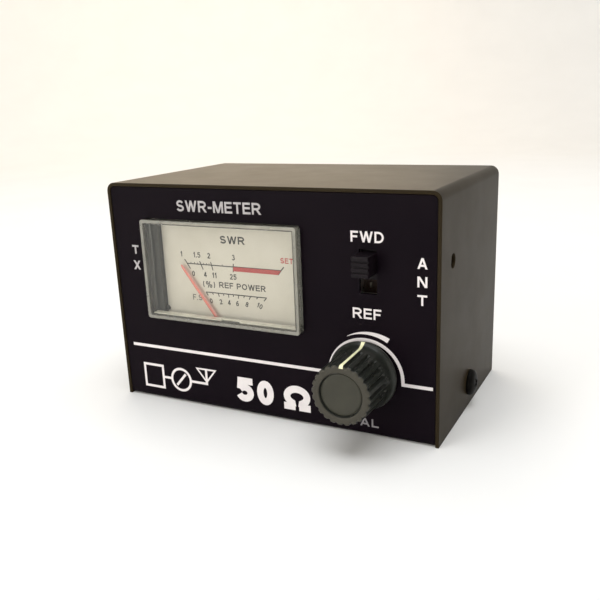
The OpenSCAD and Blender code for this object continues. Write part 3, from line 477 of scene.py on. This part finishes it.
# Each letter has a width, as a share of its height, and strokes in a square cell from 0 to 1.
# A bar is straight up or across, a cut is slanted with level ends, and a pen follows a curve.
LETTERS = {
    "A": (0.80, [("cut", (0, 0), (0.5, 1)), ("cut", (1, 0), (0.5, 1)),
                 ("bar", (0.24, 0.26), (0.76, 0.26))]),
    "C": (0.76, [("pen", bow(0.5, 0.5, 0.5, 0.5, 42, 318, 18))]),
    "D": (0.74, [("bar", (0, 0), (0, 1)), ("pen", [(0, 1), (0.4, 1)]
                  + bow(0.4, 0.5, 0.6, 0.5, 90, -90, 14) + [(0, 0)])]),
    "E": (0.66, [("bar", (0, 0), (0, 1))] + [("bar", (0, y), (x, y)) for x, y in
                                             ((1, 0), (0.92, 0.53), (0.97, 1))]),
    "F": (0.62, [("bar", (0, 0), (0, 1)), ("bar", (0, 0.5), (0.85, 0.5)),
                 ("bar", (0, 1), (1, 1))]),
    "L": (0.60, [("bar", (0, 0), (0, 1)), ("bar", (0, 0), (1, 0))]),
    "M": (0.90, [("bar", (0, 0), (0, 1)), ("bar", (1, 0), (1, 1)), ("cut", (0.06, 1), (0.5, 0)),
                 ("cut", (0.94, 1), (0.5, 0))]),
    "N": (0.74, [("bar", (0, 0), (0, 1)), ("bar", (1, 0), (1, 1)), ("cut", (0.04, 1), (0.96, 0))]),
    "O": (0.84, [("pen", oval(0.5, 0.5, 0.5, 0.5, 28))]),
    "P": (0.68, [("bar", (0, 0), (0, 1)), ("pen", [(0, 1), (0.5, 1)]
                  + bow(0.5, 0.72, 0.5, 0.28, 90, -90) + [(0, 0.44)])]),
    "R": (0.76, [("bar", (0, 0), (0, 1)), ("pen", [(0, 1), (0.5, 1)]
                  + bow(0.5, 0.73, 0.45, 0.27, 90, -90) + [(0, 0.46)]),
                 ("cut", (0.52, 0.46), (1, 0))]),
    "S": (0.70, [("pen", bow(0.5, 0.75, 0.45, 0.25, 20, 270, 14)
                  + bow(0.5, 0.25, 0.5, 0.25, 90, -162, 14)[1:])]),
    "T": (0.66, [("bar", (0, 1), (1, 1)), ("bar", (0.5, 0), (0.5, 1))]),
    "W": (1.06, [("cut", (0, 1), (0.25, 0)), ("cut", (0.5, 1), (0.25, 0)),
                 ("cut", (0.5, 1), (0.75, 0)), ("cut", (1, 1), (0.75, 0))]),
    "X": (0.74, [("cut", (0, 0), (1, 1)), ("cut", (1, 0), (0, 1))]),
    "0": (0.60, [("pen", oval(0.5, 0.5, 0.5, 0.5, 24))]),
    "1": (0.40, [("bar", (0.75, 0), (0.75, 1)), ("cut", (0.0, 0.66), (0.7, 1))]),
    "2": (0.60, [("pen", bow(0.48, 0.72, 0.48, 0.28, 170, -30) + [(0.0, 0.02)]),
                 ("bar", (0, 0), (1, 0))]),
    "3": (0.60, [("pen", bow(0.45, 0.76, 0.45, 0.24, 160, -90)),
                 ("pen", bow(0.45, 0.26, 0.55, 0.26, 90, -165))]),
    "4": (0.62, [("bar", (0.72, 0), (0.72, 1)), ("bar", (0, 0.26), (1, 0.26)),
                 ("cut", (0.0, 0.26), (0.68, 1))]),
    "5": (0.64, [("bar", (0.16, 1), (0.94, 1)), ("pen", [(0.15, 1), (0.06, 0.52)]),
                 ("pen", bow(0.47, 0.32, 0.53, 0.32, 142, -158, 18))]),
    "6": (0.60, [("pen", oval(0.5, 0.3, 0.5, 0.3, 18)),
                 ("pen", bow(0.62, 0.42, 0.62, 0.58, 75, 190))]),
    "8": (0.60, [("pen", oval(0.5, 0.76, 0.42, 0.24, 18)),
                 ("pen", oval(0.5, 0.26, 0.5, 0.26, 18))]),
    "%": (0.95, [("pen", oval(0.16, 0.76, 0.17, 0.24, 14)),
                 ("pen", oval(0.84, 0.24, 0.17, 0.24, 14)), ("cut", (0.3, 0), (0.7, 1))]),
    "(": (0.34, [("pen", bow(1.2, 0.5, 1.2, 0.66, 125, 235))]),
    ")": (0.34, [("pen", bow(-0.2, 0.5, 1.2, 0.66, 55, -55))]),
    ".": (0.20, [("bar", (0.5, 0), (0.5, 0.02))]),
    "-": (0.34, [("bar", (0, 0.4), (1, 0.4))]),
    # the ohm sign
    "@": (0.92, [("bar", (0, 0), (0.24, 0)), ("bar", (0.76, 0), (1, 0)),
                 ("pen", [(0.28, 0)] + bow(0.5, 0.58, 0.5, 0.42, 240, -60, 24) + [(0.72, 0)])]),
    " ": (0.10, []),
}
LETTER_GAP = 0.13


def mitred(points, width):
    """Convex outlines, one a segment, for a line of even width with mitred corners."""
    points = [Vector(p) for p in points]
    points = points[:1] + [b for a, b in zip(points, points[1:]) if (b - a).length > 0.01]
    left, right = [], []
    for k, here in enumerate(points):
        before = (here - points[k - 1]).normalized() if k else None
        after = (points[k + 1] - here).normalized() if k + 1 < len(points) else None
        along = ((before or after) + (after or before)).normalized()
        across = Vector((-along.y, along.x)) * width / 2 / max(0.5, along.dot(after or before))
        left.append(here + across)
        right.append(here - across)
    return [[left[k], left[k + 1], right[k + 1], right[k]] for k in range(len(points) - 1)]


class Print:
    """Ink on a plane that faces -Y: outlines in XZ, merged into one thin closed plate."""

    def __init__(self, plane, height):
        self.outlines = []
        self.front = plane - height
        self.back = plane + 0.02

    def plate(self, outline):
        """A convex outline. Where a tight bend folds it over itself, its hull is used."""
        points = [Vector(p) for p in outline]
        hull = [points[k] for k in convex_hull_2d(points)]
        area = sum(a.cross(b) for a, b in zip(hull, hull[1:] + hull[:1]))
        if abs(area) > 1e-5:
            self.outlines.append(hull if area > 0 else hull[::-1])

    def line(self, points, width):
        for outline in mitred(points, width):
            self.plate(outline)

    def letter(self, strokes, x, z, wide, tall, pen, place):
        """One letter, its cell's low corner at x, z. place moves each point, for turned text."""
        def cell(p):
            return Vector((x + pen / 2 + p[0] * (wide - pen), z + pen / 2 + p[1] * (tall - pen)))

        for kind, *points in strokes:
            if kind == "pen":
                shapes = mitred([cell(p) for p in points[0]], pen)
            elif kind == "bar":
                a, b = (cell(p) for p in points)
                low = Vector((min(a.x, b.x), min(a.y, b.y))) - Vector((pen, pen)) / 2
                high = Vector((max(a.x, b.x), max(a.y, b.y))) + Vector((pen, pen)) / 2
                shapes = [[low, Vector((high.x, low.y)), high, Vector((low.x, high.y))]]
            else:
                a, b = (cell(p) for p in points)
                for end, p in ((a, points[0]), (b, points[1])):
                    end.y = {0: z, 1: z + tall}.get(p[1], end.y)
                half = pen / 2 * (b - a).length / abs(b.y - a.y)
                shapes = [[a - Vector((half, 0)), a + Vector((half, 0)), b + Vector((half, 0)),
                           b - Vector((half, 0))]]
            for shape in shapes:
                self.plate([place(p) for p in shape])

    def words(self, text, left, right, low, high, weight=0.2, turn=0.0, gap=LETTER_GAP):
        """Lettering that fills a rectangle. weight is the pen's width as a share of the height,
        and turn is in degrees, clockwise."""
        tall = high - low
        natural = sum(LETTERS[c][0] + gap for c in text) - gap
        scale = (right - left) / natural
        centre = Vector(((left + right) / 2, (low + high) / 2))
        tilt = Matrix.Rotation(math.radians(-turn), 2)
        x = left
        for c in text:
            width, strokes = LETTERS[c]
            self.letter(strokes, x, low, width * scale, tall, weight * tall,
                        lambda p: centre + tilt @ (p - centre))
            x += (width + gap) * scale

    def number(self, text, x, z, tall, turn=0.0):
        """A number centred on x, z at its natural width."""
        half = tall * (sum(LETTERS[c][0] + LETTER_GAP for c in text) - LETTER_GAP) / 2
        self.words(text, x - half, x + half, z - tall / 2, z + tall / 2, weight=0.18, turn=turn)

    def make(self, name, ink):
        """Merges the outlines and makes one piece of them."""
        points = [p for outline in self.outlines for p in outline]
        faces, start = [], 0
        for outline in self.outlines:
            faces.append(list(range(start, start + len(outline))))
            start += len(outline)
        places, _, tiles, _, _, sources = delaunay_2d_cdt(points, [], faces, 0, 1e-4, True)
        tiles = [tile for tile, source in zip(tiles, sources) if source]
        shape = bmesh.new()
        front = [shape.verts.new((p.x, self.front, p.y)) for p in places]
        back = [shape.verts.new((p.x, self.back, p.y)) for p in places]
        rims = {(a, b) for tile in tiles for a, b in zip(tile, tile[1:] + tile[:1])}
        for tile in tiles:
            shape.faces.new([front[k] for k in tile])
            shape.faces.new([back[k] for k in reversed(tile)])
        for a, b in rims:
            if (b, a) not in rims:
                shape.faces.new((front[b], front[a], back[a], back[b]))
        bmesh.ops.delete(shape, geom=[v for v in shape.verts if not v.link_faces],
                         context="VERTS")
        bmesh.ops.dissolve_limit(shape, angle_limit=0.01, verts=shape.verts, edges=shape.edges)
        piece(name, shape, "case", ink, smooth=30)


PANEL_Y = corners("chassis")[0].y


def panel_print():
    # soft carries the white ink painted dimmer, as painted shade
    ink, soft, faint = (Print(PANEL_Y, 0.03) for _ in range(3))
    soft.words("SWR-METER", -25.9, 1.2, 58.0, 61.1, weight=0.18)
    ink.words("FWD", 26.6, 35.4, 52.3, 55.1, weight=0.18)
    ink.words("REF", 26.8, 34.6, 32.5, 35.3, weight=0.18)
    faint.words("CAL", 25.2, 33.6, 2.6, 4.9, weight=0.19, gap=0.18)
    soft.words("T", -43.1, -40.8, 44.9, 47.5, weight=0.21)
    soft.words("X", -43.1, -40.7, 40.2, 42.9, weight=0.21)
    for letter, z in (("A", 46.6), ("N", 42.0), ("T", 37.4)):
        ink.words(letter, 44.0, 46.5, z, z + 2.7, weight=0.19)
    ink.words("50 @", -10.2, 13.6, 3.6, 11.0, weight=0.28)
    # the ruled line, which steps over the knob in a half circle
    rule_z, rule = 16.6, 0.9
    centre, reach = (30.04, rule_z), 10.26
    ink.line([(-46.5, rule_z)] + arc(centre, reach, 180, 0, 40) + [(40.35, 15.9), (48.2, 15.9)],
             rule)
    # the wedge that shows which way the knob raises the reading
    steps, start, sweep, inner, thin, grow = 24, 115, -56, 11.75, 0.1, 1.3
    for k in range(steps):
        band = []
        for step in (k, k + 1):
            turn = math.radians(start + sweep * step / steps)
            along = Vector((math.cos(turn), math.sin(turn)))
            band += [Vector(centre) + along * radius
                     for radius in (inner, inner + thin + grow * step / steps)]
        ink.plate([band[0], band[1], band[3], band[2]])
    # a wiring sketch: transmitter, meter, antenna
    low, high, mid, pen = 3.6, 10.6, 7.1, 0.75
    box_left, box_right, dial_x, dial_r, mast, wing = -43.0, -36.2, -29.6, 3.4, -20.4, 3.2
    box_mid, top = (box_left + box_right) / 2, high + 1.0
    ink.line([(box_mid, low), (box_right, low), (box_right, high), (box_left, high),
              (box_left, low), (box_mid, low)], pen)
    ink.line([(box_right, mid), (dial_x - dial_r, mid)], pen)
    ink.line(arc((dial_x, mid), dial_r, 0, 360, 36), pen)
    ink.line([(dial_x - 1.7, mid - 1.9), (dial_x + 1.7, mid + 1.9)], pen)
    ink.line([(dial_x + dial_r, mid), (mast, mid), (mast, top)], pen)
    for side in (wing, -wing):
        ink.line([(mast, top), (mast + side, top), (mast, mid + 0.6)], pen * 0.7)
    ink.make("panel_print", "print_white")
    soft.make("panel_print_soft", "print_soft")
    faint.make("panel_print_faint", "print_grey")


def dial_print():
    plane = corners("dial_plate")[0].y
    pivot = middle("coil_shaft")

    def radial(angle, height):
        """The point at this height over the pivot, on a line this many degrees off vertical."""
        return (pivot.x + height * math.tan(math.radians(angle)), pivot.z + height)

    def tick(sheet, angle, low, high, width):
        sheet.line([radial(angle, low), radial(angle, high)], width)

    black = Print(plane, 0.015)
    red = Print(plane, 0.02)
    black.words("SWR", -14.8, -6.7, 48.8, 51.0, weight=0.21)
    # heights are over the pivot, and angles are off vertical
    scale, digit = 21.0, 1.6
    first, three, last = -33.5, 4.8, 39.0
    marks = (("1", "0", first), ("1.5", "4", -23.5), ("2", "11", -14.7), ("3", "25", three))
    for ratio, power, angle in marks:
        black.number(ratio, *radial(angle, scale + 2.7), digit)
        tick(black, angle, scale, scale + (1.2 if angle == first else 0.9), 0.3)
        black.number(power, *radial(angle, scale - 2.9), digit)
        tick(black, angle, scale - 1.5, scale, 0.3)
    for angle in (-30.5, -28.0, -25.7, -21.0, -18.7, -16.6, -5.0):
        tick(black, angle, scale, scale + 0.45, 0.22)
    black.line([radial(first, scale), radial(three, scale)], 0.3)
    bar_low = scale - 1.25
    red.plate([radial(three, scale), radial(three, bar_low),
               radial(last, bar_low), radial(last, scale)])
    black.line([radial(last, bar_low), radial(last, scale + 1.1)], 0.34)
    black.line([radial(three, scale + 0.1), radial(last, scale + 0.1)], 0.2)
    red.words("SET", 4.2, 8.1, 44.4, 45.9, weight=0.20)
    black.words("(%)", -21.6, -17.5, 35.6, 37.5, weight=0.15)
    black.words("REF", -16.1, -11.3, 35.9, 37.6, weight=0.19)
    black.words("POWER", -10.2, -0.8, 35.9, 37.6, weight=0.19)
    # field strength: equal steps of angle, numbered at every other one
    field, step, start = 12.9, 7.5, -32
    black.line([radial(start, field), radial(start + 10 * step, field)], 0.3)
    for k in range(11):
        angle = start + k * step
        tick(black, angle, field - (1.0 if k % 2 == 0 else 0.6), field, 0.28)
        if k % 2 == 0:
            black.number(str(k), *radial(angle, field - 2.5), digit * 0.95, turn=angle * 0.6)
    black.words("F.S", -25.5, -22.3, 31.5, 33.2, weight=0.15)
    black.make("dial_print_black", "print_black")
    red.make("dial_print_red", "print_red")


# ---- Meter window and needle ----

def rounded_box(x, z, w, h, r):
    """Outline of a rectangle with round corners."""
    points = []
    for sx, sz, start in ((1, 1, 0), (-1, 1, 90), (-1, -1, 180), (1, -1, 270)):
        points += arc((x + sx * (w / 2 - r), z + sz * (h / 2 - r)), r, start, start + 90, 5)
    return points


def window():
    """A clear moulding: its rim is painted pale, as painted light for the light that runs along the
    clear rim.
    """
    low, high = corners("meter_window")
    x, z = middle("meter_housing").x, 41.0
    wide, tall, corner, wall, front = 50.0, 29.0, 0.8, 1.2, low.y
    rim_back, flange_y = front + 1.0, PANEL_Y + 1
    band, dark_ring_width = 0.95, 0.2
    latch_x, latch_half, latch_y = x + 2.8, 3.0, PANEL_Y - 1.4
    bottom, ledge = z - tall / 2, z - tall / 2 + wall
    flange_bottom = 13.2

    def hole(inset, y_from, y_to, low_z=None):
        return cuboid((x - wide / 2 + inset, y_from, bottom + inset if low_z is None else low_z),
                      (x + wide / 2 - inset, y_to, z + tall / 2 - inset))

    def latch(margin, z_from, z_to):
        return cuboid((latch_x - latch_half + margin, latch_y, z_from),
                      (latch_x + latch_half - margin, latch_y + 1.0, z_to))

    def part(name, shape, look, ease_width=0.0):
        piece(name, shape, "case", look, replaces=["meter_window"],
              ease_width=ease_width)

    part("window_rim", carve(prism(rounded_box(x, z, wide, tall, corner), front, rim_back),
                             hole(band, front - 1, rim_back + 1)), "pale_styrene", 0.2)
    # a dark ring at the rim's inner face: painted shade for the clear plastic that shows dark there
    part("window_inner_face_painted_shade", carve(hole(band, front + 0.1, rim_back),
                              hole(band + dark_ring_width, front - 1, rim_back + 1)), "smoky_styrene")
    part("window_pane", hole(band + dark_ring_width, front + 0.04, rim_back), "clear_styrene", 0.08)
    sides = carve(prism(rounded_box(x, z, wide, tall, corner), rim_back, flange_y),
                  hole(wall, front, flange_y + 1), latch(0, bottom - 1, bottom + 0.7))
    flange = carve(cuboid((low.x, flange_y, low.z), (high.x, high.y, high.z)),
                   hole(wall, flange_y - 1, high.y + 1, flange_bottom))
    part("window_walls", join(sides, flange), "clear_styrene", 0.1)
    # the lower wall's inside, painted pale and nearly opaque: painted light for the glow of the
    # dial's reflection and the light from above on the ledge
    floor = cuboid((x - wide / 2 + wall, rim_back, ledge),
                   (x + wide / 2 - wall, flange_y, ledge + 0.25))
    part("window_ledge", carve(floor, latch(0, ledge - 1, ledge + 1)), "milky_styrene", 0.06)
    # a black block in the latch gap: painted shade for the dark gap
    part("window_latch_gap_painted_shade", latch(0.1, ledge - 0.45, ledge + 0.02), "black_plastic")


def needle():
    """A thin blade of red plastic, dark along its ridge and clear at its edges, on its hub."""
    low, high = corners("pointer")
    pivot = middle("coil_shaft")
    shaft_r = corners("coil_shaft")[1].x - pivot.x
    lean = Matrix.Rotation(math.radians(-36.7), 4, "Y")
    y, thick, hub_r, hub_thick, arm = low.y, 0.3, 1.2, 0.5, 0.4
    step_in, step_out = 3.8, 4.4
    core = {1, 2, 5}   # the sides of the section that are opaque
    shape = bmesh.new()
    rows = []
    for height, half in ((step_in, 0.66), (9.0, 0.64), (18.0, 0.60), (24.8, 0.54), (25.7, 0.34)):
        section = [(-half, y + thick * 0.55), (-half * 0.34, y + thick * 0.12), (0, y),
                   (half * 0.34, y + thick * 0.12), (half, y + thick * 0.55),
                   (half * 0.34, y + thick), (-half * 0.34, y + thick)]
        rows.append([shape.verts.new((a, b, height)) for a, b in section])
    count = len(rows[0])
    for first, second in zip(rows, rows[1:]):
        for k in range(count):
            n = (k + 1) % count
            face = shape.faces.new((first[k], first[n], second[n], second[k]))
            face.material_index = 0 if k in core else 1
    shape.faces.new(rows[0])
    shape.faces.new(list(reversed(rows[-1])))
    hub_y = high.y - hub_thick
    ring = turned(closed([(shaft_r, 0), (hub_r, 0), (hub_r, hub_thick), (shaft_r, hub_thick)]), 48)
    facing(weld(ring), 0, high.y, 0, "-Y")
    join(shape, ring)
    join(shape, cuboid((-arm, hub_y, hub_r - 0.1), (arm, high.y, step_out)))
    join(shape, cuboid((-arm, y + thick * 0.4, step_in), (arm, hub_y + 0.05, step_out)))
    shape.transform(Matrix.Translation((pivot.x, 0, pivot.z)) @ lean)
    piece("needle", shape, "meter_movement", ["needle_core", "needle_edge"],
          replaces=["pointer"], smooth=20)


# ---- Knob ----

FLUTES = 24
KNOB = middle("pot_shaft")
KNOB_H = PANEL_Y - corners("knob")[0].y
KNOB_TURN = math.radians(-3)


def knob_profile():
    """The knob's outline as (radius, height over the panel), from the skirt to the face's centre."""
    skirt = [(9.05, 0.8), (9.25, 0.86), (9.35, 1.02), (9.35, 1.5), (9.28, 1.68), (9.12, 1.84)]
    flare = [(9.12 - 0.95 * math.sin(math.pi / 2 * t) ** 0.9, 1.84 + 2.6 * t ** 1.25)
             for t in (0.12, 0.25, 0.4, 0.55, 0.7, 0.85, 1.0)]
    side = [(8.17 - 0.27 * t, 4.44 + (KNOB_H - 5.04) * t) for t in
            (0.03, 0.06, 0.09, 0.12, 0.15, 0.19, 0.25, 0.4, 0.55, 0.7, 0.82, 0.92, 1.0)]
    rim = [(7.87, -0.4), (7.78, -0.24), (7.64, -0.11), (7.42, -0.03), (7.15, 0), (6.1, 0),
           (5.92, -0.04), (5.80, -0.16), (5.75, -0.36), (5.70, -0.64), (5.60, -0.80), (5.50, -0.78)]
    disc = [(5.43, -0.68), (5.3, -0.59), (5.0, -0.55), (3.8, -0.62), (2.4, -0.70), (1.2, -0.74),
            (0, -0.75)]
    rim, disc = ([(r, KNOB_H + rise) for r, rise in part] for part in (rim, disc))
    return skirt, flare, side, rim, disc


def flute_depth(height):
    """How deep the flutes are at a height: none on the skirt, full over most of the side."""
    foot, full = 4.5, 5.9
    rise = min(1.0, max(0.0, (height - foot) / (full - foot)))
    return 0.72 * rise * rise * (3 - 2 * rise)


def knob_radius(r, h, turn):
    """The knob's radius with its flutes cut in, which fade out on the face's rim."""
    rim_r, foot, half_width = 6.5, 4.0, 0.27
    if r < rim_r or h < foot:
        return r
    pitch = 2 * math.pi / FLUTES
    # the pointer is at the top, and a flute lies half a pitch either side of it
    place = ((turn - math.pi / 2 - KNOB_TURN) / pitch) % 1.0
    across = abs(place - 0.5) / half_width
    if across >= 1:
        return r
    shape = math.cos(math.pi / 2 * across) ** 0.8
    # the flutes run out on the face's rim, and are shallower over the last 3 mm of the side
    fade = min(1.0, max(0.0, (r - rim_r) / 1.1)) if h > KNOB_H - 0.3 else 1.0
    fade *= 1 - 0.45 * min(1.0, max(0.0, (h - KNOB_H + 3.0) / 2.6))
    return r - flute_depth(h) * shape * fade


def knob():
    skirt, flare, side, rim, disc = knob_profile()
    outside = skirt + flare + side + rim + disc
    bottom = KNOB_H - 2.5
    inside = [(0, bottom), (4.8, bottom), (4.8, 4.0), (7.0, 4.0), (7.2, 3.8), (7.2, 1.0),
              (7.35, 0.8)]
    segments = FLUTES * 14
    shape = turned(outside, segments, knob_radius)
    join(shape, turned(inside, segments))
    weld(shape)
    bmesh.ops.bridge_loops(shape, edges=[e for e in shape.edges if e.is_boundary])
    bmesh.ops.recalc_face_normals(shape, faces=shape.faces)
    # the face's rim and disc get the lighter finishes: painted light on the face
    for face in shape.faces:
        spot = face.calc_center_median()
        reach = math.hypot(spot.x, spot.y)
        if spot.z > KNOB_H - 0.2 and reach > 5.7:
            face.material_index = 1
        elif spot.z > KNOB_H - 1.0 and reach < 5.48:
            face.material_index = 2
    facing(shape, KNOB.x, PANEL_Y, KNOB.z, "-Y")
    # the grub screw's hole, from below
    grub = rod(1.6, -4.5, 9.5, 32)
    grub.transform(Matrix.Translation((KNOB.x, middle("knob_grub_screw").y, KNOB.z - 9.6)))
    carve(shape, grub)
    piece("knob_body", shape, "knob_assembly", ["knob_plastic", "knob_rim_painted_light", "knob_disc_painted_light"],
          replaces=["knob"], smooth=42)


def knob_line():
    """The painted pointer: it follows the knob's outline from the face's rim to the skirt."""
    skirt, flare, side, rim, _ = knob_profile()
    path = [p for p in (skirt + flare + side + rim) if p[0] > 6.25 and p[1] > 1.3]
    top = math.pi / 2 + KNOB_TURN
    shape = bmesh.new()
    rows = []
    for k, (r, h) in enumerate(path):
        ahead, behind = path[min(k + 1, len(path) - 1)], path[max(k - 1, 0)]
        along = Vector((ahead[0] - behind[0], ahead[1] - behind[1])).normalized()
        out = Vector((along.y, -along.x))
        half = 0.32 + 0.22 * abs(2 * k / (len(path) - 1) - 1) ** 2   # widest at both ends
        row = []
        for lift, sides in ((0.06, (-1, 1)), (-0.08, (1, -1))):
            for side_sign in sides:
                radius, height = r + out.x * lift, h + out.y * lift
                row.append(shape.verts.new((
                    radius * math.cos(top) + side_sign * half * math.sin(top),
                    radius * math.sin(top) - side_sign * half * math.cos(top), height)))
        rows.append(row)
    for first, second in zip(rows, rows[1:]):
        for k in range(4):
            shape.faces.new((first[k], first[(k + 1) % 4], second[(k + 1) % 4], second[k]))
    shape.faces.new(rows[0])
    shape.faces.new(list(reversed(rows[-1])))
    facing(shape, KNOB.x, PANEL_Y, KNOB.z, "-Y")
    piece("knob_line", shape, "knob_assembly", "pointer_cream",
          replaces=["knob_pointer"], smooth=50)


# ---- Screws and sockets ----

def pan_head(radius, height):
    """A domed head, standing on Z = 0."""
    edge = height * 0.34
    dome = [(radius * math.cos(math.radians(a)) ** 0.8,
             edge + (height - edge) * math.sin(math.radians(a))) for a in (0, 15, 30, 45, 60, 75)]
    return turned([(0, 0), (radius - 0.1, 0), (radius, 0.12)] + dome + [(0, height)], 40)


def cross_recess(height, reach, width, depth):
    """A tapered cross, wide at the top of the head and narrow at its bottom."""
    shape = bmesh.new()
    for turn in (0, math.pi / 2):
        arm = bmesh.new()
        bmesh.ops.create_cube(arm, size=2)
        for v in arm.verts:
            deep = v.co.z < 0
            v.co = Vector((v.co.x * reach * (0.45 if deep else 1.0),
                           v.co.y * width / 2 * (0.7 if deep else 1.0),
                           height - depth if deep else height + 0.5))
        arm.transform(Matrix.Rotation(turn, 4, "Z"))
        join(shape, arm)
    return shape


def side_screws():
    mid = middle("cover_screws")
    cover_low, cover_high = corners("cover")
    head_r, head_h, shank_r, tip_r = 3.7, 2.1, 1.95, 1.5
    shape = bmesh.new()
    for face, way, turn in ((cover_high.x, "+X", 0.4), (cover_low.x, "-X", 1.1)):
        recess = cross_recess(head_h, reach=1.9, width=0.85, depth=1.25)
        head = carve(pan_head(head_r, head_h), *split(recess))
        join(head, turned([(0, -6), (tip_r, -6), (shank_r, -5.5), (shank_r, 0.2), (0, 0.2)], 28))
        head.transform(Matrix.Rotation(turn, 4, "Z"))
        facing(head, face, mid.y, mid.z, way)
        join(shape, head)
    piece("side_screws", shape, "case", "black_screw",
          replaces=["cover_screws"], smooth=35)


def split(shape):
    """The separate closed bodies of a bmesh, each in its own bmesh."""
    parts, left = [], set(shape.verts)
    while left:
        stack, found = [left.pop()], set()
        while stack:
            vert = stack.pop()
            found.add(vert)
            for edge in vert.link_edges:
                other = edge.other_vert(vert)
                if other in left:
                    left.remove(other)
                    stack.append(other)
        part, twin = bmesh.new(), {}
        for vert in sorted(found, key=lambda v: v.index):
            twin[vert] = part.verts.new(vert.co)
        for face in shape.faces:
            if face.verts[0] in found:
                part.faces.new([twin[v] for v in face.verts])
        parts.append(part)
    shape.free()
    return parts


def socket(name):
    """A coaxial socket: a square flange, a threaded barrel and a notched mouth."""
    low, high = corners(name + "_socket_shell")
    mid = (low + high) / 2
    flange_y, side = corners("chassis")[1].y, high.x - low.x
    thick, corner, screw_reach, screw_hole = 2.0, 1.6, 9.1, 1.65
    length = high.y - flange_y - thick
    pitch, depth, barrel, lip, bore, tail, body = 1.058, 0.52, 7.9, 7.3, 6.15, 4.8, 5.8
    tip, bore_end = thick + length, thick + length - 8
    thread_start, thread_end, lead_in, run_off = thick + 0.9, tip - 0.7, 0.8, 0.3
    notch_deep, notch_half = 1.3, 5.5   # millimetres, and degrees either side of its middle

    def thread(r, h, turn):
        if r < lip or not thread_start <= h <= thread_end:
            return r
        groove = (1 - math.cos(2 * math.pi * h / pitch + turn)) / 2
        run_out = min(1.0, (h - thread_start) / lead_in, (thread_end - h) / run_off)
        return r - depth * groove * run_out

    def notch(r, h, turn):
        if h < tip - 0.5 or r > lip:
            return h
        off_notch = abs(((turn / (math.pi / 2)) + 0.5) % 1.0 - 0.5) * 90
        return h - notch_deep if off_notch < notch_half else h

    rows = int((length - 1.0) / pitch * 14)
    outer = [(barrel, thick - 0.1)] + [
        (barrel, thick + 0.2 + (length - 0.9) * k / rows) for k in range(rows + 1)]
    mouth = [(barrel - 0.35, tip - 0.25), (lip, tip), (6.3, tip), (bore, tip - 0.15),
             (bore, tip - 3), (bore, bore_end)]
    back = [(tail, bore_end), (tail, -4.8), (body, -4.8), (body, thick - 0.1)]
    shape = weld(turned(closed(outer + mouth + back), 96, thread, notch))
    facing(shape, mid.x, flange_y, mid.z, "+Y")

    cutters = [facing(rod(body + 0.05, -2, 5, 64), mid.x, flange_y, mid.z, "+Y")]
    for dx in (-screw_reach, screw_reach):
        for dz in (-screw_reach, screw_reach):
            cutters.append(facing(rod(screw_hole, -2, 5, 24), mid.x + dx, flange_y, mid.z + dz, "+Y"))
    plate = carve(prism(rounded_box(mid.x, mid.z, side, side, corner), flange_y, flange_y + thick),
                  *cutters)
    piece(name + "_flange", plate, "case", "nickel",
          replaces=[name + "_socket_shell"], ease_width=0.18)
    piece(name + "_barrel", shape, "case", "nickel",
          replaces=[name + "_socket_shell"], smooth=58)

    # the centre contact, slit into four springs
    start, end = (point.y for point in corners(name + "_contact"))
    inner, outer_r, slit, slit_long = 2.05, 3.0, 0.22, 5
    shoulder, pin_bore = high.y - 8, end - 12
    tube = turned(closed([(inner, pin_bore), (inner, end - 0.5), (2.35, end), (2.8, end),
                          (outer_r, end - 0.25), (outer_r, shoulder), (2.2, shoulder),
                          (2.2, start), (0.6, start), (0.6, pin_bore)]), 64)
    slits = [cuboid((-4, -slit, end - slit_long), (4, slit, end + 1)),
             cuboid((-slit, -4, end - slit_long), (slit, 4, end + 1))]
    for cut in slits:
        cut.transform(Matrix.Rotation(math.pi / 4, 4, "Z"))
    tube = carve(weld(tube), *slits)
    facing(tube, mid.x, 0, mid.z, "+Y")
    piece(name + "_centre", tube, "case", "tinned_brass",
          replaces=[name + "_contact"], smooth=30)


# ---- Studio ----

def studio():
    """A pale round floor, in metres, that curves up into a wall, and its lights."""
    flat, bend, top = 0.9, 0.5, 1.6
    curve = [(flat + bend * math.sin(math.radians(a)), bend - bend * math.cos(math.radians(a)))
             for a in range(10, 91, 10)]
    shape = turned([(0, 0), (0.2, 0), (0.5, 0), (flat, 0)] + curve + [(flat + bend, top)], 64)
    mesh = bpy.data.meshes.new("floor")
    shape.to_mesh(mesh)
    shape.free()
    mesh.shade_smooth()
    floor = bpy.data.objects.new("floor", mesh)
    bpy.context.scene.collection.objects.link(floor)
    tree, out = shader("floor")
    tone = blend_colour(tree, spread(tree, noise(tree, 60), 0, 1), (0.86, 0.855, 0.84),
                        (0.88, 0.875, 0.86))
    tree.links.new(tone, out.inputs["Base Color"])
    out.inputs["Roughness"].default_value = 0.9
    out.inputs["Specular IOR Level"].default_value = 0.1
    mesh.materials.append(MATERIALS["floor"])

    world = bpy.data.worlds.new("studio")
    bpy.context.scene.world = world
    world.use_nodes = True
    sky = world.node_tree.nodes["Background"].inputs
    sky["Color"].default_value = (0.98, 0.99, 1.0, 1)
    sky["Strength"].default_value = 0.28
    softbox("back", (-0.72, 1.05, 0.50), (0, 0, 0.03), (0.95, 0.5), 3.4, (1.0, 0.77, 0.48))
    softbox("above", (0.0, -0.05, 1.15), (0, 0, 0), (1.1, 1.1), 12.4, (0.97, 0.985, 1.0))
    softbox("front", (-0.45, -0.85, 0.42), (0, 0, 0.03), (0.5, 0.35), 1.5, (1.0, 0.985, 0.96))
    softbox("low", (-0.40, -0.78, 0.11), (-0.02, 0, 0.04), (0.35, 0.18), 1.3, (1.0, 0.97, 0.91))


make_camera()
panel_print()
dial_print()
window()
needle()
knob()
knob_line()
side_screws()
socket("tx")
socket("ant")
studio()
bpy.context.scene.view_settings.view_transform = "Standard"
